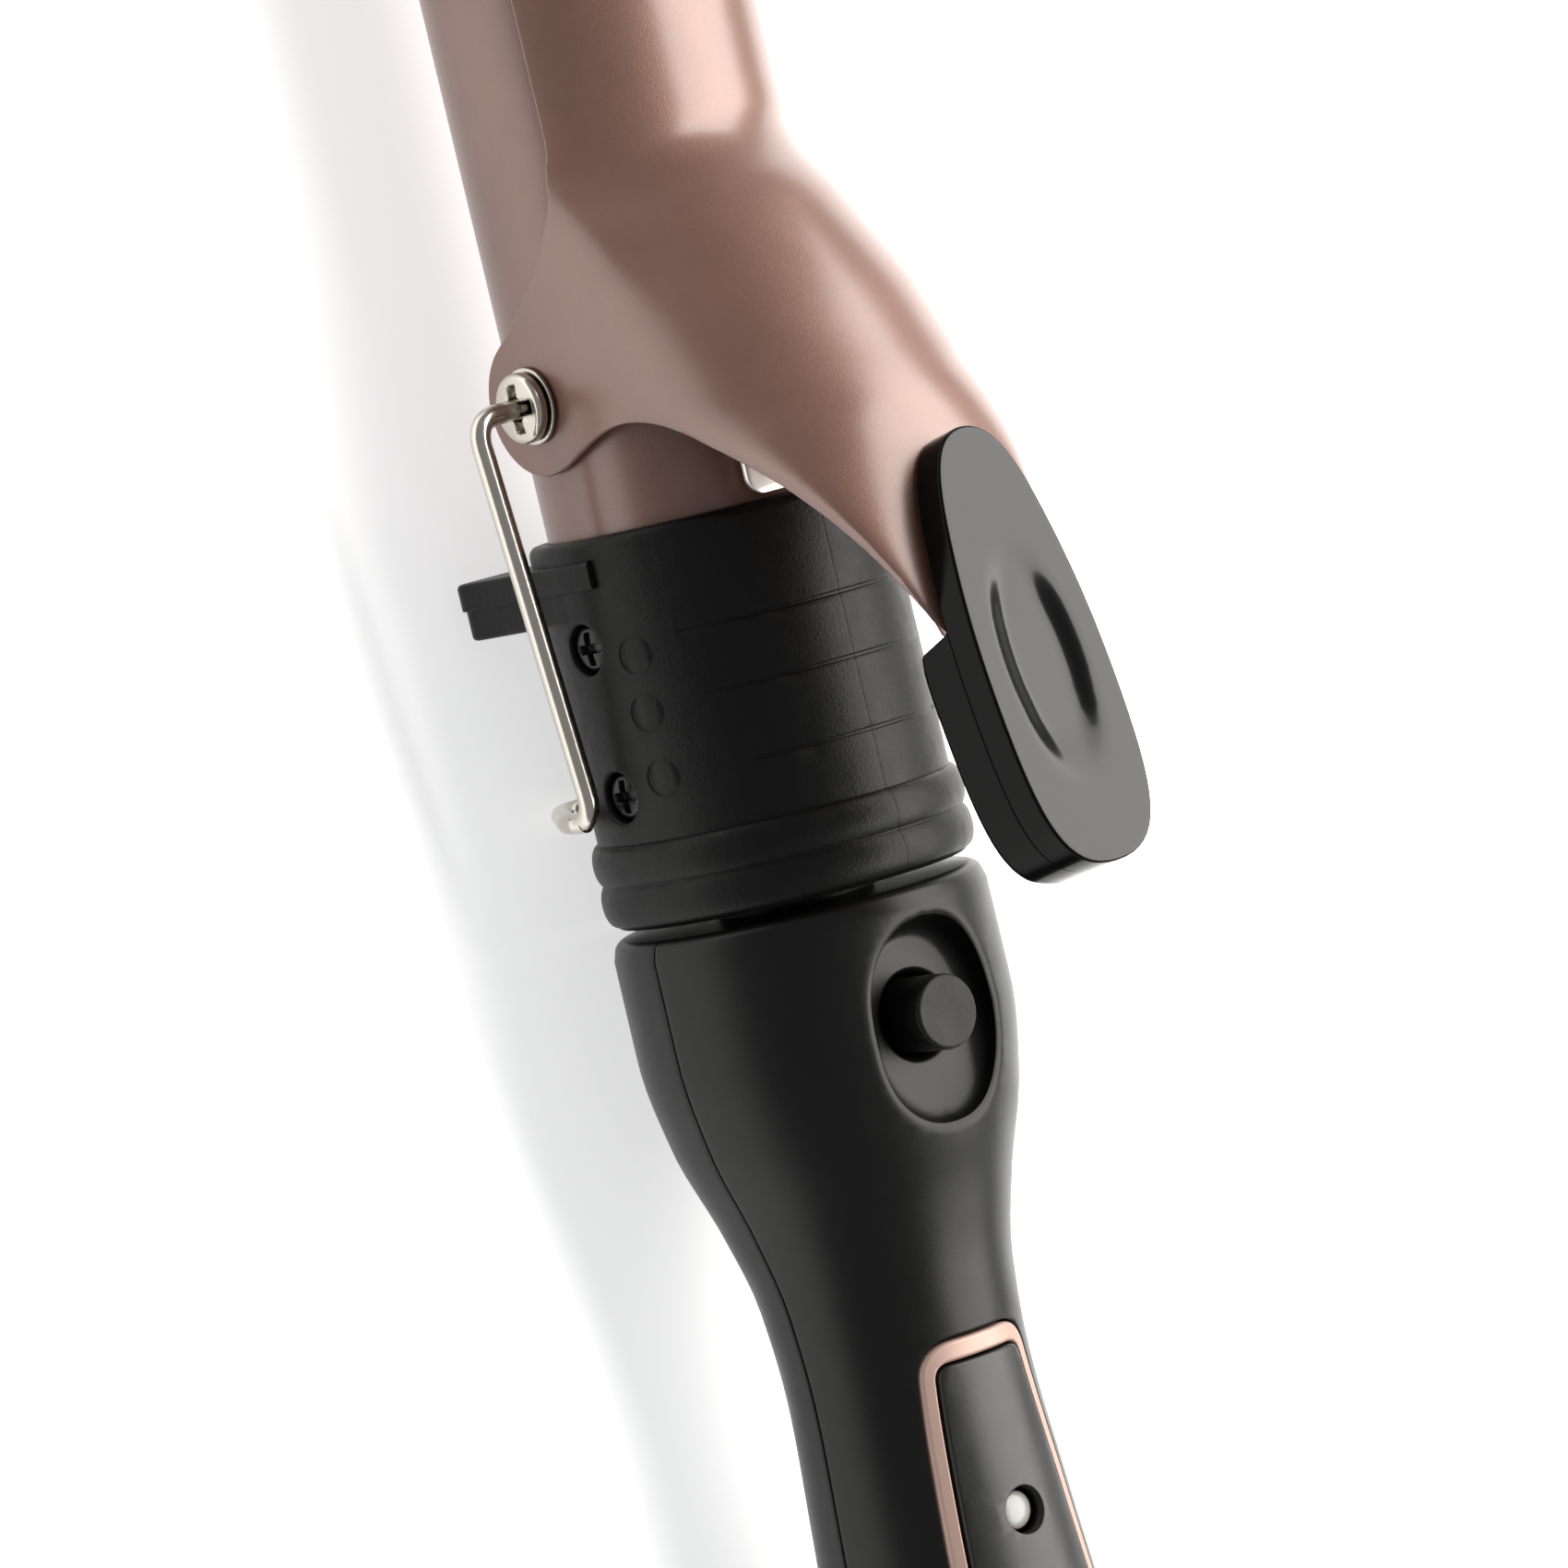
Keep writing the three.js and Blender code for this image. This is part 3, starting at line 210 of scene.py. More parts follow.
def rounded(corners, closed=True, step=15):
    """A flat outline whose corners (a, b, radius) are rounded; a corner (a, b) stays sharp."""
    out = []
    for i, corner in enumerate(corners):
        here = Vector(corner[:2])
        radius = corner[2] if len(corner) > 2 else 0
        if radius == 0 or (not closed and i in (0, len(corners) - 1)):
            out.append(tuple(here))
            continue
        into = Vector(corners[i - 1][:2]) - here
        away = Vector(corners[(i + 1) % len(corners)][:2]) - here
        half = into.angle(away) / 2
        setback = min(radius / math.tan(half), 0.49 * into.length, 0.49 * away.length)
        into.normalize()
        away.normalize()
        centre = here + (into + away).normalized() * setback / math.cos(half)
        first = here + into * setback - centre
        last = here + away * setback - centre
        start = math.atan2(first.y, first.x)
        turn = (math.atan2(last.y, last.x) - start + math.pi) % (2 * math.pi) - math.pi
        steps = max(2, round(abs(math.degrees(turn)) / step))
        for k in range(steps + 1):
            angle = start + turn * k / steps
            out.append((centre.x + first.length * math.cos(angle),
                        centre.y + first.length * math.sin(angle)))
    return out


def bezier(a, b, c, d, steps):
    """Points of a cubic curve, without its first."""
    out = []
    for i in range(1, steps + 1):
        t = i / steps
        weights = ((1 - t) ** 3, 3 * t * (1 - t) ** 2, 3 * t * t * (1 - t), t ** 3)
        out.append(tuple(sum(w * p[k] for w, p in zip(weights, (a, b, c, d))) for k in (0, 1)))
    return out


def smooth_through(points):
    """A function through the given (x, value) points that never overshoots between them."""
    xs = [p[0] for p in points]
    slopes = [(b[1] - a[1]) / (b[0] - a[0]) for a, b in zip(points, points[1:])]
    tangents = [slopes[0]]
    for before, after in zip(slopes, slopes[1:]):
        tangents.append(0 if before * after <= 0 else 2 * before * after / (before + after))
    tangents.append(slopes[-1])

    def value(x):
        i = min(max(int(np.searchsorted(xs, x)) - 1, 0), len(xs) - 2)
        width = xs[i + 1] - xs[i]
        t = (x - xs[i]) / width
        turn = (t**3 - 2 * t**2 + t) * tangents[i] + (t**3 - t**2) * tangents[i + 1]
        blend = 3 * t**2 - 2 * t**3
        return (1 - blend) * points[i][1] + blend * points[i + 1][1] + turn * width

    return value


def ease(low, high, x):
    """0 at low, 1 at high and smooth between, whichever of the two is larger."""
    t = min(max((x - low) / (high - low), 0), 1)
    return t * t * (3 - 2 * t)


def end_drop(distance, length, depth):
    """How much a rounded end lowers a surface, at a distance from that end."""
    return depth * (1 - math.sqrt(1 - (1 - min(max(distance / length, 0), 1)) ** 2))


def resampled(loop, step):
    """A closed outline with no segment longer than step."""
    out = []
    for a, b in zip(loop, loop[1:] + loop[:1]):
        count = max(1, math.ceil(math.dist(a, b) / step))
        out += [tuple(a[k] + (b[k] - a[k]) * i / count for k in (0, 1)) for i in range(count)]
    return out


def turned_left(loop):
    area = sum(a[0] * b[1] - b[0] * a[1] for a, b in zip(loop, loop[1:] + loop[:1]))
    return loop if area > 0 else loop[::-1]


def moved_in(loop, distance):
    """The outline with each point moved to its left, across the line through its neighbours."""
    out = []
    for before, here, after in zip(loop[-1:] + loop[:-1], loop, loop[1:] + loop[:1]):
        normals = []
        for a, b in ((before, here), (here, after)):
            length = math.dist(a, b) or 1
            normals.append(((a[1] - b[1]) / length, (b[0] - a[0]) / length))
        middle_x = normals[0][0] + normals[1][0]
        middle_y = normals[0][1] + normals[1][1]
        size = max(math.hypot(middle_x, middle_y), 0.5)
        out.append((here[0] + 2 * distance * middle_x / size**2,
                    here[1] + 2 * distance * middle_y / size**2))
    return out


def inside(points, loop):
    """Which of the points lie inside a closed outline."""
    found = np.zeros(len(points), bool)
    for a, b in zip(loop, loop[1:] + loop[:1]):
        if a[1] == b[1]:
            continue
        crosses = (points[:, 1] < a[1]) != (points[:, 1] < b[1])
        reach = a[0] + (points[:, 1] - a[1]) * (b[0] - a[0]) / (b[1] - a[1])
        found ^= crosses & (points[:, 0] < reach)
    return found


def far_from(points, loop, margin):
    """Which of the points are more than margin away from every point of a loop."""
    near = np.array(loop)
    gaps = np.hypot(points[:, None, 0] - near[None, :, 0], points[:, None, 1] - near[None, :, 1])
    return gaps.min(1) > margin


def clear_points(points, outer, rings, margin):
    """The loose points inside outer and outside the rings, not closer than margin to any."""
    points = np.array(points, float)
    keep = inside(points, outer)
    for ring in rings:
        keep &= ~inside(points, ring)
    for loop in [outer, *rings]:
        keep &= far_from(points, resampled(loop, margin), margin)
    return [tuple(p) for p in points[keep]]


def triangles(rings, loose, holes=()):
    """Triangles over a flat map, as indices into the rings' points followed by the loose ones."""
    flats = [p for ring in rings for p in ring] + list(loose)
    edges = []
    start = 0
    for ring in rings:
        edges += [(start + i, start + (i + 1) % len(ring)) for i in range(len(ring))]
        start += len(ring)
    _, _, faces, origins, _, _ = delaunay_2d_cdt([Vector(p) for p in flats], edges, [], 1, 1e-7)
    faces = [[origins[i][0] for i in face] for face in faces]
    if holes:
        centres = np.array([[sum(flats[i][k] for i in face) / 3 for k in (0, 1)] for face in faces])
        gone = np.zeros(len(faces), bool)
        for hole in holes:
            gone |= inside(centres, hole)
        faces = [face for face, out in zip(faces, gone) if not out]
    return faces


# ---- Mesh tools ----


class Shape:
    """Points (s, y, z) in millimetres and the faces between them."""

    def __init__(self):
        self.points = []
        self.faces = []

    def add(self, points):
        start = len(self.points)
        self.points.extend(tuple(p) for p in points)
        return list(range(start, len(self.points)))

    def strip(self, one, two):
        for i in range(len(one)):
            j = (i + 1) % len(one)
            self.faces.append((one[i], one[j], two[j], two[i]))

    def rows(self, rows, loop=False):
        """Skin over closed rows of points; loop joins the last row to the first."""
        indices = [self.add(row) for row in rows]
        for one, two in zip(indices, indices[1:]):
            self.strip(one, two)
        if loop:
            self.strip(indices[-1], indices[0])
        return indices

    def capped(self, rows):
        """Skin over rows of points, with the first and last row filled."""
        indices = self.rows(rows)
        self.faces += [tuple(indices[0]), tuple(indices[-1])]

    def patch(self, faces, indices):
        self.faces += [tuple(indices[i] for i in face) for face in faces]

    def mapped(self, change):
        self.points = [change(*p) for p in self.points]
        return self


def about_y(side, s, z):
    """Turned about a line along Y at station s and height z; a grows away from the middle."""
    return lambda a, r, turn: (s + r * math.cos(turn), side * a, z + r * math.sin(turn))


def about_z(s, way=1, base=0):
    return lambda a, r, turn: (s + r * math.cos(turn), r * math.sin(turn), base + way * a)


def along_x(y):
    """Turned about a line along X at the height of the axis, shifted sideways by y."""
    return lambda a, r, turn: (a, y + r * math.sin(turn), r * math.cos(turn))


def leaning(x):
    """Turned about the lever's own upright line at x; a grows downward from the pad's top."""
    return lambda a, r, turn: lever_place(x + r * math.cos(turn), r * math.sin(turn), -a)


def shifted(place, by):
    return lambda a, r, turn: place(a + by, r, turn)


def turned(profile, place=along_x(0), around=96):
    """A profile of (a, r) turned about a line, closed or with both its ends on the line."""
    shape = Shape()
    rows = [[place(a, r, turn) for turn in full_turn(around)] for a, r in profile]
    shape.rows(rows, loop=profile[0][1] > 0)
    return shape


def swept(route, radius, around=20):
    """A round wire along a list of points, with flat ends."""
    route = [Vector(p) for p in route]
    shape = Shape()
    side = None
    rows = []
    for i, here in enumerate(route):
        ahead = (route[min(i + 1, len(route) - 1)] - route[max(i - 1, 0)]).normalized()
        side = side or ahead.orthogonal()
        side = (side - ahead * side.dot(ahead)).normalized()
        across = ahead.cross(side)
        rows.append([tuple(here + radius * (side * math.cos(t) + across * math.sin(t)))
                     for t in full_turn(around)])
    shape.capped(rows)
    return shape


def bent(corners, setback, steps=10):
    """A route along straight runs between corners, each corner rounded over the given setback."""
    corners = [Vector(c) for c in corners]
    route = [corners[0]]
    for before, here, after in zip(corners, corners[1:], corners[2:]):
        start = here + (before - here).normalized() * setback
        end = here + (after - here).normalized() * setback
        for i in range(steps + 1):
            t = i / steps
            route.append(start * (1 - t) ** 2 + here * 2 * t * (1 - t) + end * t * t)
    route.append(corners[-1])
    return route


def folded_sheet(outline, holes, place, thickness, spacing, edge):
    """Round-edged sheet cut to a flat outline with holes; place(u, v, depth) bends it."""
    shape = Shape()
    loops = [turned_left(resampled(outline, spacing))]
    loops += [turned_left(resampled(hole, spacing))[::-1] for hole in holes]
    levels = [(edge * (1 - sine), edge * (1 - cosine)) for sine, cosine in quarter(step=30)]
    levels += [(inset, thickness - depth) for inset, depth in reversed(levels)]
    inner = [moved_in(loop, edge) for loop in loops]
    us = [p[0] for p in inner[0]]
    vs = [p[1] for p in inner[0]]
    grid = [(u, v) for u in np.arange(min(us), max(us), spacing)
            for v in np.arange(min(vs), max(vs), spacing)]
    loose = clear_points(grid, inner[0], inner[1:], 0.45 * spacing)
    faces = triangles(inner, loose, inner[1:])
    flats = [p for ring in inner for p in ring] + loose
    top = shape.add([place(u, v, 0) for u, v in flats])
    bottom = shape.add([place(u, v, thickness) for u, v in flats])
    shape.patch(faces, top)
    shape.patch([face[::-1] for face in faces], bottom)
    start = 0
    for loop in loops:
        rims = [top[start:start + len(loop)]]
        for inset, depth in levels[1:-1]:
            rims.append(shape.add([place(u, v, depth) for u, v in moved_in(loop, inset)]))
        rims.append(bottom[start:start + len(loop)])
        for one, two in zip(rims, rims[1:]):
            shape.strip(one, two)
        start += len(loop)
    return shape


def solid_mesh(name, shape):
    """A mesh in metres from a shape, with its doubled points joined and its faces outward."""
    mesh = bpy.data.meshes.new(name)
    mesh.from_pydata([at(*p) for p in shape.points], [], shape.faces)
    work = bmesh.new()
    work.from_mesh(mesh)
    bmesh.ops.remove_doubles(work, verts=work.verts, dist=2e-6)
    bmesh.ops.dissolve_degenerate(work, edges=work.edges, dist=1e-7)
    bmesh.ops.recalc_face_normals(work, faces=work.faces)
    work.to_mesh(mesh)
    work.free()
    return mesh


def linked(name, data):
    thing = bpy.data.objects.new(name, data)
    bpy.context.scene.collection.objects.link(thing)
    return thing


def bored(mesh, cuts):
    """The mesh with other shapes taken out of it."""
    block = linked("block", mesh)
    tools = [linked("tool", solid_mesh("tool", shape)) for shape in cuts]
    for tool in tools:
        boolean = block.modifiers.new("bore", "BOOLEAN")
        boolean.operation = "DIFFERENCE"
        boolean.solver = "EXACT"
        boolean.object = tool
    result = block.evaluated_get(bpy.context.evaluated_depsgraph_get())
    done = bpy.data.meshes.new_from_object(result)
    for thing in [block, *tools]:
        bpy.data.objects.remove(thing)
    return done


def piece(name, shape, finish, body, node, cuts=()):
    """Makes a shape into an object in place of a CAD node, on its body and with its finish."""
    mesh = solid_mesh(name, shape)
    if cuts:
        mesh = bored(mesh, cuts)
    mesh.shade_smooth()
    mesh.set_sharp_from_angle(angle=math.radians(SHARP_ANGLE))
    mesh.materials.append(MATERIALS[finish])
    thing = linked(name, mesh)
    thing.modifiers.new("weighted", "WEIGHTED_NORMAL").keep_sharp = True
    if body:
        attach(thing, body)
    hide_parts(node)
    return thing


# ---- Materials ----


def fill(tree, sockets, values):
    """Sets sockets to values, or links them where the value is another node's socket."""
    for key, value in values.items():
        if isinstance(value, bpy.types.NodeSocket):
            tree.links.new(value, sockets[key])
        else:
            sockets[key].default_value = value


def surface(name, colour, second, roughness, spread, patch, grain, bump, metallic=0.0, wear=None,
            coat=0.0, coat_roughness=0.1, coat_ior=1.5, specular=0.5, edge=(1, 1, 1),
            stretch=(1, 1, 1), subsurface=0.0, painted_top_sheen=False):
    """A procedural finish: two mottled colours, uneven roughness, fine grain, and worn edges.

    An option puts the coat only on faces that look up: a painted sheen, so the tops look lit and
    the sides stay dark.
    """
    material = bpy.data.materials.new(name)
    material.use_nodes = True
    tree = material.node_tree

    def node(kind, inputs, **settings):
        made = tree.nodes.new(kind)
        for key, value in settings.items():
            setattr(made, key, value)
        fill(tree, made.inputs, inputs)
        return made.outputs

    def spread_over(value, low, high, out_low, out_high):
        return node("ShaderNodeMapRange", {"Value": value, "From Min": low, "From Max": high,
                                           "To Min": out_low, "To Max": out_high})["Result"]

    def noise(place, scale, detail, **more):
        return node("ShaderNodeTexNoise", {"Vector": place, "Scale": scale, "Detail": detail,
                                           **more})["Fac"]

    place = node("ShaderNodeTexCoord", {})
    mapping = node("ShaderNodeMapping", {"Vector": place["Object"], "Scale": stretch})["Vector"]
    mottle = noise(mapping, patch, 12.0, Roughness=0.72)
    tinted = node("ShaderNodeMix", {"Factor": mottle, "A": (*colour, 1), "B": (*second, 1)},
                  data_type="RGBA")["Result"]
    if wear:
        edges = spread_over(node("ShaderNodeNewGeometry", {})["Pointiness"], 0.53, 0.62, 0, 1)
        worn = node("ShaderNodeMath", {0: edges, 1: noise(place["Object"], 900.0, 5.0)},
                    operation="MULTIPLY")["Value"]
        tinted = node("ShaderNodeMix", {"Factor": worn, "A": tinted, "B": (*wear, 1)},
                      data_type="RGBA")["Result"]
    smear = noise(mapping, patch * 3.1, 6.0)
    relief = node("ShaderNodeBump", {"Height": noise(mapping, grain, 3.0), "Strength": 1.0,
                                     "Distance": bump})["Normal"]
    looks = {
        "Base Color": tinted,
        "Roughness": spread_over(smear, 0.25, 0.75, roughness - spread, roughness + spread),
        "Normal": relief, "Metallic": metallic, "Specular IOR Level": specular,
        "Specular Tint": (*edge, 1), "Coat Weight": coat, "Coat Roughness": coat_roughness,
        "Coat IOR": coat_ior,
    }
    # Painted sheen: the coat only on faces that look up, so tops look lit and sides dark.
    if painted_top_sheen:
        upward = node("ShaderNodeSeparateXYZ", {"Vector": place["Normal"]})["Z"]
        looks["Coat Weight"] = spread_over(upward, 0.8, 0.96, 0, coat)
    if subsurface:
        looks |= {"Subsurface Weight": subsurface, "Subsurface Scale": MM}
    fill(tree, tree.nodes["Principled BSDF"].inputs, looks)
    return material


# For each finish its two colours, then its roughness and how far that varies, the scale of its
# mottling and of its grain, and the grain's height in metres.
FINISHES = {
    "rose_gold": ((0.205, 0.102, 0.074), (0.11, 0.055, 0.040), 0.45, 0.03, 60, 5200, 0.00004,
                  dict(metallic=0.35, wear=(0.4, 0.32, 0.27), coat=1.0, coat_roughness=0.27,
                       coat_ior=1.6, edge=(0.5, 0.3, 0.25))),
    "rose_trim": ((0.40, 0.27, 0.225), (0.33, 0.22, 0.18), 0.5, 0.04, 120, 4000, 0.000008,
                  dict(metallic=0.35)),
    "collar_plastic": ((0.0045, 0.0043, 0.004), (0.003, 0.0029, 0.0027), 0.42, 0.06, 150, 3300,
                       0.00004, dict(wear=(0.015, 0.014, 0.013), specular=0.18)),
    "grip_plastic": ((0.0036, 0.0034, 0.0031), (0.0026, 0.0025, 0.0023), 0.36, 0.03, 70, 6000,
                     0.00001, dict(specular=0.23)),
    "panel_plastic": ((0.008, 0.0077, 0.0072), (0.006, 0.0058, 0.0054), 0.36, 0.03, 110, 5000,
                      0.000008, dict(specular=0.4)),
    # The lever's coat is a painted sheen, on its upward faces only.
    "lever_plastic": ((0.003, 0.003, 0.0028), (0.002, 0.002, 0.002), 0.16, 0.04, 60, 1800, 0.000003,
                      dict(coat=0.6, coat_roughness=0.2, specular=0.05, painted_top_sheen=True)),
    "nickel": ((0.56, 0.52, 0.46), (0.48, 0.45, 0.4), 0.2, 0.05, 300, 1500, 0.00001,
               dict(metallic=1.0, wear=(0.8, 0.75, 0.68))),
    "black_steel": ((0.012, 0.012, 0.012), (0.008, 0.008, 0.008), 0.32, 0.06, 300, 1500, 0.00001,
                    dict(metallic=0.3, wear=(0.08, 0.08, 0.08))),
    "spring_steel": ((0.8, 0.78, 0.73), (0.72, 0.7, 0.66), 0.34, 0.05, 160, 1400, 0.00001,
                     dict(metallic=1.0, stretch=(0.15, 1, 1))),
    "aluminium": ((0.66, 0.67, 0.68), (0.58, 0.59, 0.6), 0.42, 0.08, 90, 1600, 0.00003,
                  dict(metallic=1.0, stretch=(0.1, 1, 1))),
    "ceramic": ((0.85, 0.82, 0.76), (0.78, 0.75, 0.68), 0.6, 0.06, 140, 2000, 0.00002, {}),
    "brass": ((0.72, 0.52, 0.24), (0.6, 0.42, 0.18), 0.3, 0.08, 260, 1500, 0.00001,
              dict(metallic=1.0)),
    "lens_plastic": ((0.30, 0.295, 0.285), (0.26, 0.255, 0.25), 0.25, 0.04, 400, 2200, 0.00001,
                     dict(subsurface=0.35)),
    "board": ((0.02, 0.11, 0.045), (0.015, 0.085, 0.035), 0.35, 0.06, 500, 900, 0.00002, {}),
}
MATERIALS = {name: surface(name, *row, **more) for name, (*row, more) in FINISHES.items()}


def paint_frame():
    """Gives every CAD node its slot's material."""
    for row in frame["record"]["subparts"]:
        mesh = frame["nodes"][row["node"]].data
        mesh.materials.clear()
        mesh.materials.append(MATERIALS[row["material_slot"]])


# ---- Barrel, tip and plug ----


def barrel():
    return turned(rounded([
        (BARREL_FRONT, BARREL_RADIUS - TUBE_WALL), (BARREL_FRONT, BARREL_RADIUS, 0.3),
        (BARREL_BACK, BARREL_RADIUS, 0.3), (BARREL_BACK, BARREL_RADIUS - TUBE_WALL),
    ]), around=160)


def grooves(places, before, depth, after, half, corner=0.3, bottom=0.2):
    """Corners of the same groove cut at several places along a profile."""
    return [point for place in places for point in (
        (place - half, before, corner), (place - 0.4, before - depth, bottom),
        (place + 0.4, before - depth, bottom), (place + half, after, corner))]


def tip_cap():
    shoulder = TIP_BACK - 9
    plug = BARREL_RADIUS - TUBE_WALL - GAP
    return turned(rounded([
        (TIP_FRONT, 0), (TIP_FRONT, 13, 6), (TIP_FRONT + 8, 16.3, 6),
        *grooves((-139.5, -137, -134.5), 16.5, 0.6, 16.5, 0.7),
        (shoulder, 16.2, 0.5), (shoulder, plug, 0.2), (TIP_BACK, plug, 0.5), (TIP_BACK, 0),
    ], closed=False), around=128)


def spigot():
    """The plug under the collar: a flange that the collar holds, and a round spigot."""
    flange = COLLAR_BACK - 3 - GAP
    return turned(rounded([
        (SPIGOT_FRONT, 6.3), (SPIGOT_FRONT, 11, 0.4), (flange, 11, 0.4), (flange, SPIGOT_RADIUS),
        *grooves((SPIGOT_END - 8, SPIGOT_END - 5.5), SPIGOT_RADIUS, 0.4, SPIGOT_RADIUS, 0.6,
                 0.2, 0.15),
        (SPIGOT_END - 1.1, SPIGOT_RADIUS, 0.5), (SPIGOT_END, SPIGOT_RADIUS - 1.1, 0.4),
        (SPIGOT_END, 4.2, 0.2), (SPIGOT_END - 0.4, 4, 0.2), (SPIGOT_END - 0.4, 0),
        (SPIGOT_END - 6, 0), (SPIGOT_END - 6, 6.3),
    ]))


def contact(side):
    """A brass sleeve with a flared mouth."""
    start, end = stations(f"plug_contact_{'left' if side > 0 else 'right'}")
    return turned(rounded([
        (start, 0), (start, 2.1, 0.3), (end, 2.1, 0.3), (end, 1.9), (end - 0.5, 1.5),
        (start + 1, 1.5), (start + 1, 0),
    ]), along_x(side * CONTACT_Y), 48)


# ---- Clamp ----

FULL = BARREL_RADIUS + GAP + SHEET
ridge_curve = smooth_through(ARM_RIDGE)


def ridge_height(s):
    """Height of the clamp's ridge, with the crease between spoon and arm a little rounded."""
    reach = 0.9
    if s <= CREASE_S - reach:
        return FULL
    if s >= CREASE_S + reach:
        return ridge_curve(s)
    t = (s - CREASE_S + reach) / (2 * reach)
    slope = (ridge_curve(CREASE_S + reach) - FULL) / reach
    return FULL + slope * reach * t * t


def arm_section(s, turn=0.0):
    """Half width, ridge height and rise of the clamp's rounded top at a station.

    Away from the ridge the fold between spoon and arm lies nearer the handle, because the two are
    rolls that meet at an angle. turn is the place round the roll, from 0 at the ridge.
    """
    s -= CREASE_LEAN * (1 - math.cos(turn)) * ease(1.3, 0.7, turn) * ease(-3, -13, s)
    if s > ARM_END_S:
        ridge = ridge_curve(ARM_END_S) - 0.15 + (s - ARM_END_S) * math.tan(LEVER_SLOPE)
        return ARM_END_HALF_WIDTH, ridge, 0.02
    taper = max(0, s - ARM_TAPER_S) / (ARM_END_S - ARM_TAPER_S)
    width = FULL + (ARM_END_HALF_WIDTH - FULL) * taper
    flatten = max(0, s - ARM_ROUND_S) / (ARM_END_S - ARM_ROUND_S)
    return width, ridge_height(s), ARM_END_RISE + (width - ARM_END_RISE) * (1 - flatten) ** 2


def clamp_face(s, m):
    """The clamp's outer face, at a distance m round it from the ridge."""
    width, ridge, rise = arm_section(s)
    reach = min(abs(m), width * math.pi / 2)
    width, ridge, rise = arm_section(s, reach / width)
    y = width * math.sin(reach / width)
    z = ridge - rise + rise * math.cos(reach / width) - (abs(m) - reach)
    if s < EAR_RADIUS + 0.8:
        y += (FULL - width) * ease(0, 1, (ridge - rise - z) / max(ridge - rise - SPOON_EDGE_Z, 0.5))
    return Vector((s, math.copysign(y, m), z))


def clamp_point(s, m, depth):
    step = 0.15
    here = clamp_face(s, m)
    along = clamp_face(s + step, m) - clamp_face(s - step, m)
    around = clamp_face(s, m + step) - clamp_face(s, m - step)
    normal = along.cross(around).normalized()
    if normal.z < 0 and abs(m) < 15:
        normal.negate()
    if abs(m) >= 15 and normal.y * m < 0:
        normal.negate()
    return here - normal * depth


def round_distance(s, z):
    """Distance round the clamp's face from its ridge down to height z."""
    width, ridge, rise = arm_section(s, math.pi / 2)
    spring = ridge - rise
    if z <= spring:
        return width * math.pi / 2 + spring - z
    return width * math.acos(min(1, (z - spring) / rise))


def curved(start, curves):
    """Points along cubic curves that follow on from each other, without the first."""
    out = [start]
    for *bends, steps in curves:
        out += bezier(out[-1], *bends, steps)
    return out[1:]


def clamp_edge():
    """The blank's edge on one side, from the spoon's front to the tongue's end, as (s, z)."""
    edge = [(s, SPOON_EDGE_Z) for s in np.linspace(SPOON_FRONT, CREASE_S + 3.5, 60)]
    edge += curved(edge[-1], [((-17, 8), (-14.6, 6.2), (-11.7, 2.8), 14),
                              ((-9.6, 0.4), (-7.8, -2), (-6.5, -4.2), 10)])
    edge += arc((0, PIVOT_Z), EAR_RADIUS, 206, 370, 44)[1:]
    return edge + curved(edge[-1], [
        ((6.5, 3.6), (3.8, 7), (3.7, 12), 14), ((3.6, 17), (6.2, 21), (7, 22), 12),
        ((9, 25.2), (11.5, 28.5), (13, 30.2), 8), ((15.5, 32.8), (18, 35), (20.8, 36.7), 8),
        ((24, 38.6), (27, 40), (ARM_END_S, 40.9), 8),
    ])


def clamp_plate():
    side = [(s, round_distance(s, z)) for s, z in clamp_edge()]
    end = side[-1][1]
    corner = 8
    front = [(SPOON_FRONT + corner * (1 - cosine), side[0][1] - corner * (1 - sine))
             for sine, cosine in quarter(step=10)]
    side = front + [p for p in side if p[0] > SPOON_FRONT + corner]
    tongue = ARM_END_HALF_WIDTH * math.asin(TONGUE_HALF_WIDTH / ARM_END_HALF_WIDTH)
    side += [(ARM_END_S + 0.5, end), (ARM_END_S + 1.2, tongue), (TONGUE_END - 0.2, tongue)]
    outline = side + [(s, -m) for s, m in reversed(side)]
    pivot = round_distance(0, PIVOT_Z)
    holes = [circle((0, way * pivot), 2.3, 24) for way in (-1, 1)]
    return folded_sheet(outline, holes, clamp_point, SHEET, 1.3, 0.22)


def spring_path(length):
    """Place and facing of the leaf spring's middle surface, by distance from its lower end."""
    low = BARREL_RADIUS + GAP + LEAF_HALF
    bend_s = -11.5
    bend = 2.3
    rise = math.radians(33)
    lower = 12.8 - bend_s
    round_bend = (math.pi - rise) * bend
    if length <= lower:
        return Vector((12.8 - length, 0, low)), Vector((0, 0, -1))
    if length <= lower + round_bend:
        turn = (length - lower) / bend
        facing = Vector((-math.sin(turn), 0, -math.cos(turn)))
        return Vector((bend_s, 0, low + bend)) + bend * facing, facing
    facing = Vector((-math.sin(math.pi - rise), 0, math.cos(rise)))
    along = Vector((math.cos(rise), 0, math.sin(rise)))
    start = Vector((bend_s, 0, low + bend)) + bend * facing
    return start + along * (length - lower - round_bend), facing


def leaf_spring():
    total = 24.3 + 2.3 * math.radians(147) + 16.2

    def place(u, v, depth):
        here, facing = spring_path(u)
        return here + facing * (LEAF_HALF - depth) + Vector((0, v, 0))

    outline = rounded([(-0.7, -7, 1.8), (total, -7, 1.5), (total, 7, 1.5), (-0.7, 7, 1.8)])
    return folded_sheet(outline, [], place, 2 * LEAF_HALF, 0.7, 0.15)


# ---- Lever ----


def lever_place(x, y, z):
    """From the lever's own frame, with x from the pad's front end and z = 0 its top."""
    cosine, sine = math.cos(LEVER_SLOPE), math.sin(LEVER_SLOPE)
    return (LEVER_FRONT + x * cosine - z * sine, y, LEVER_TOP + x * sine + z * cosine)


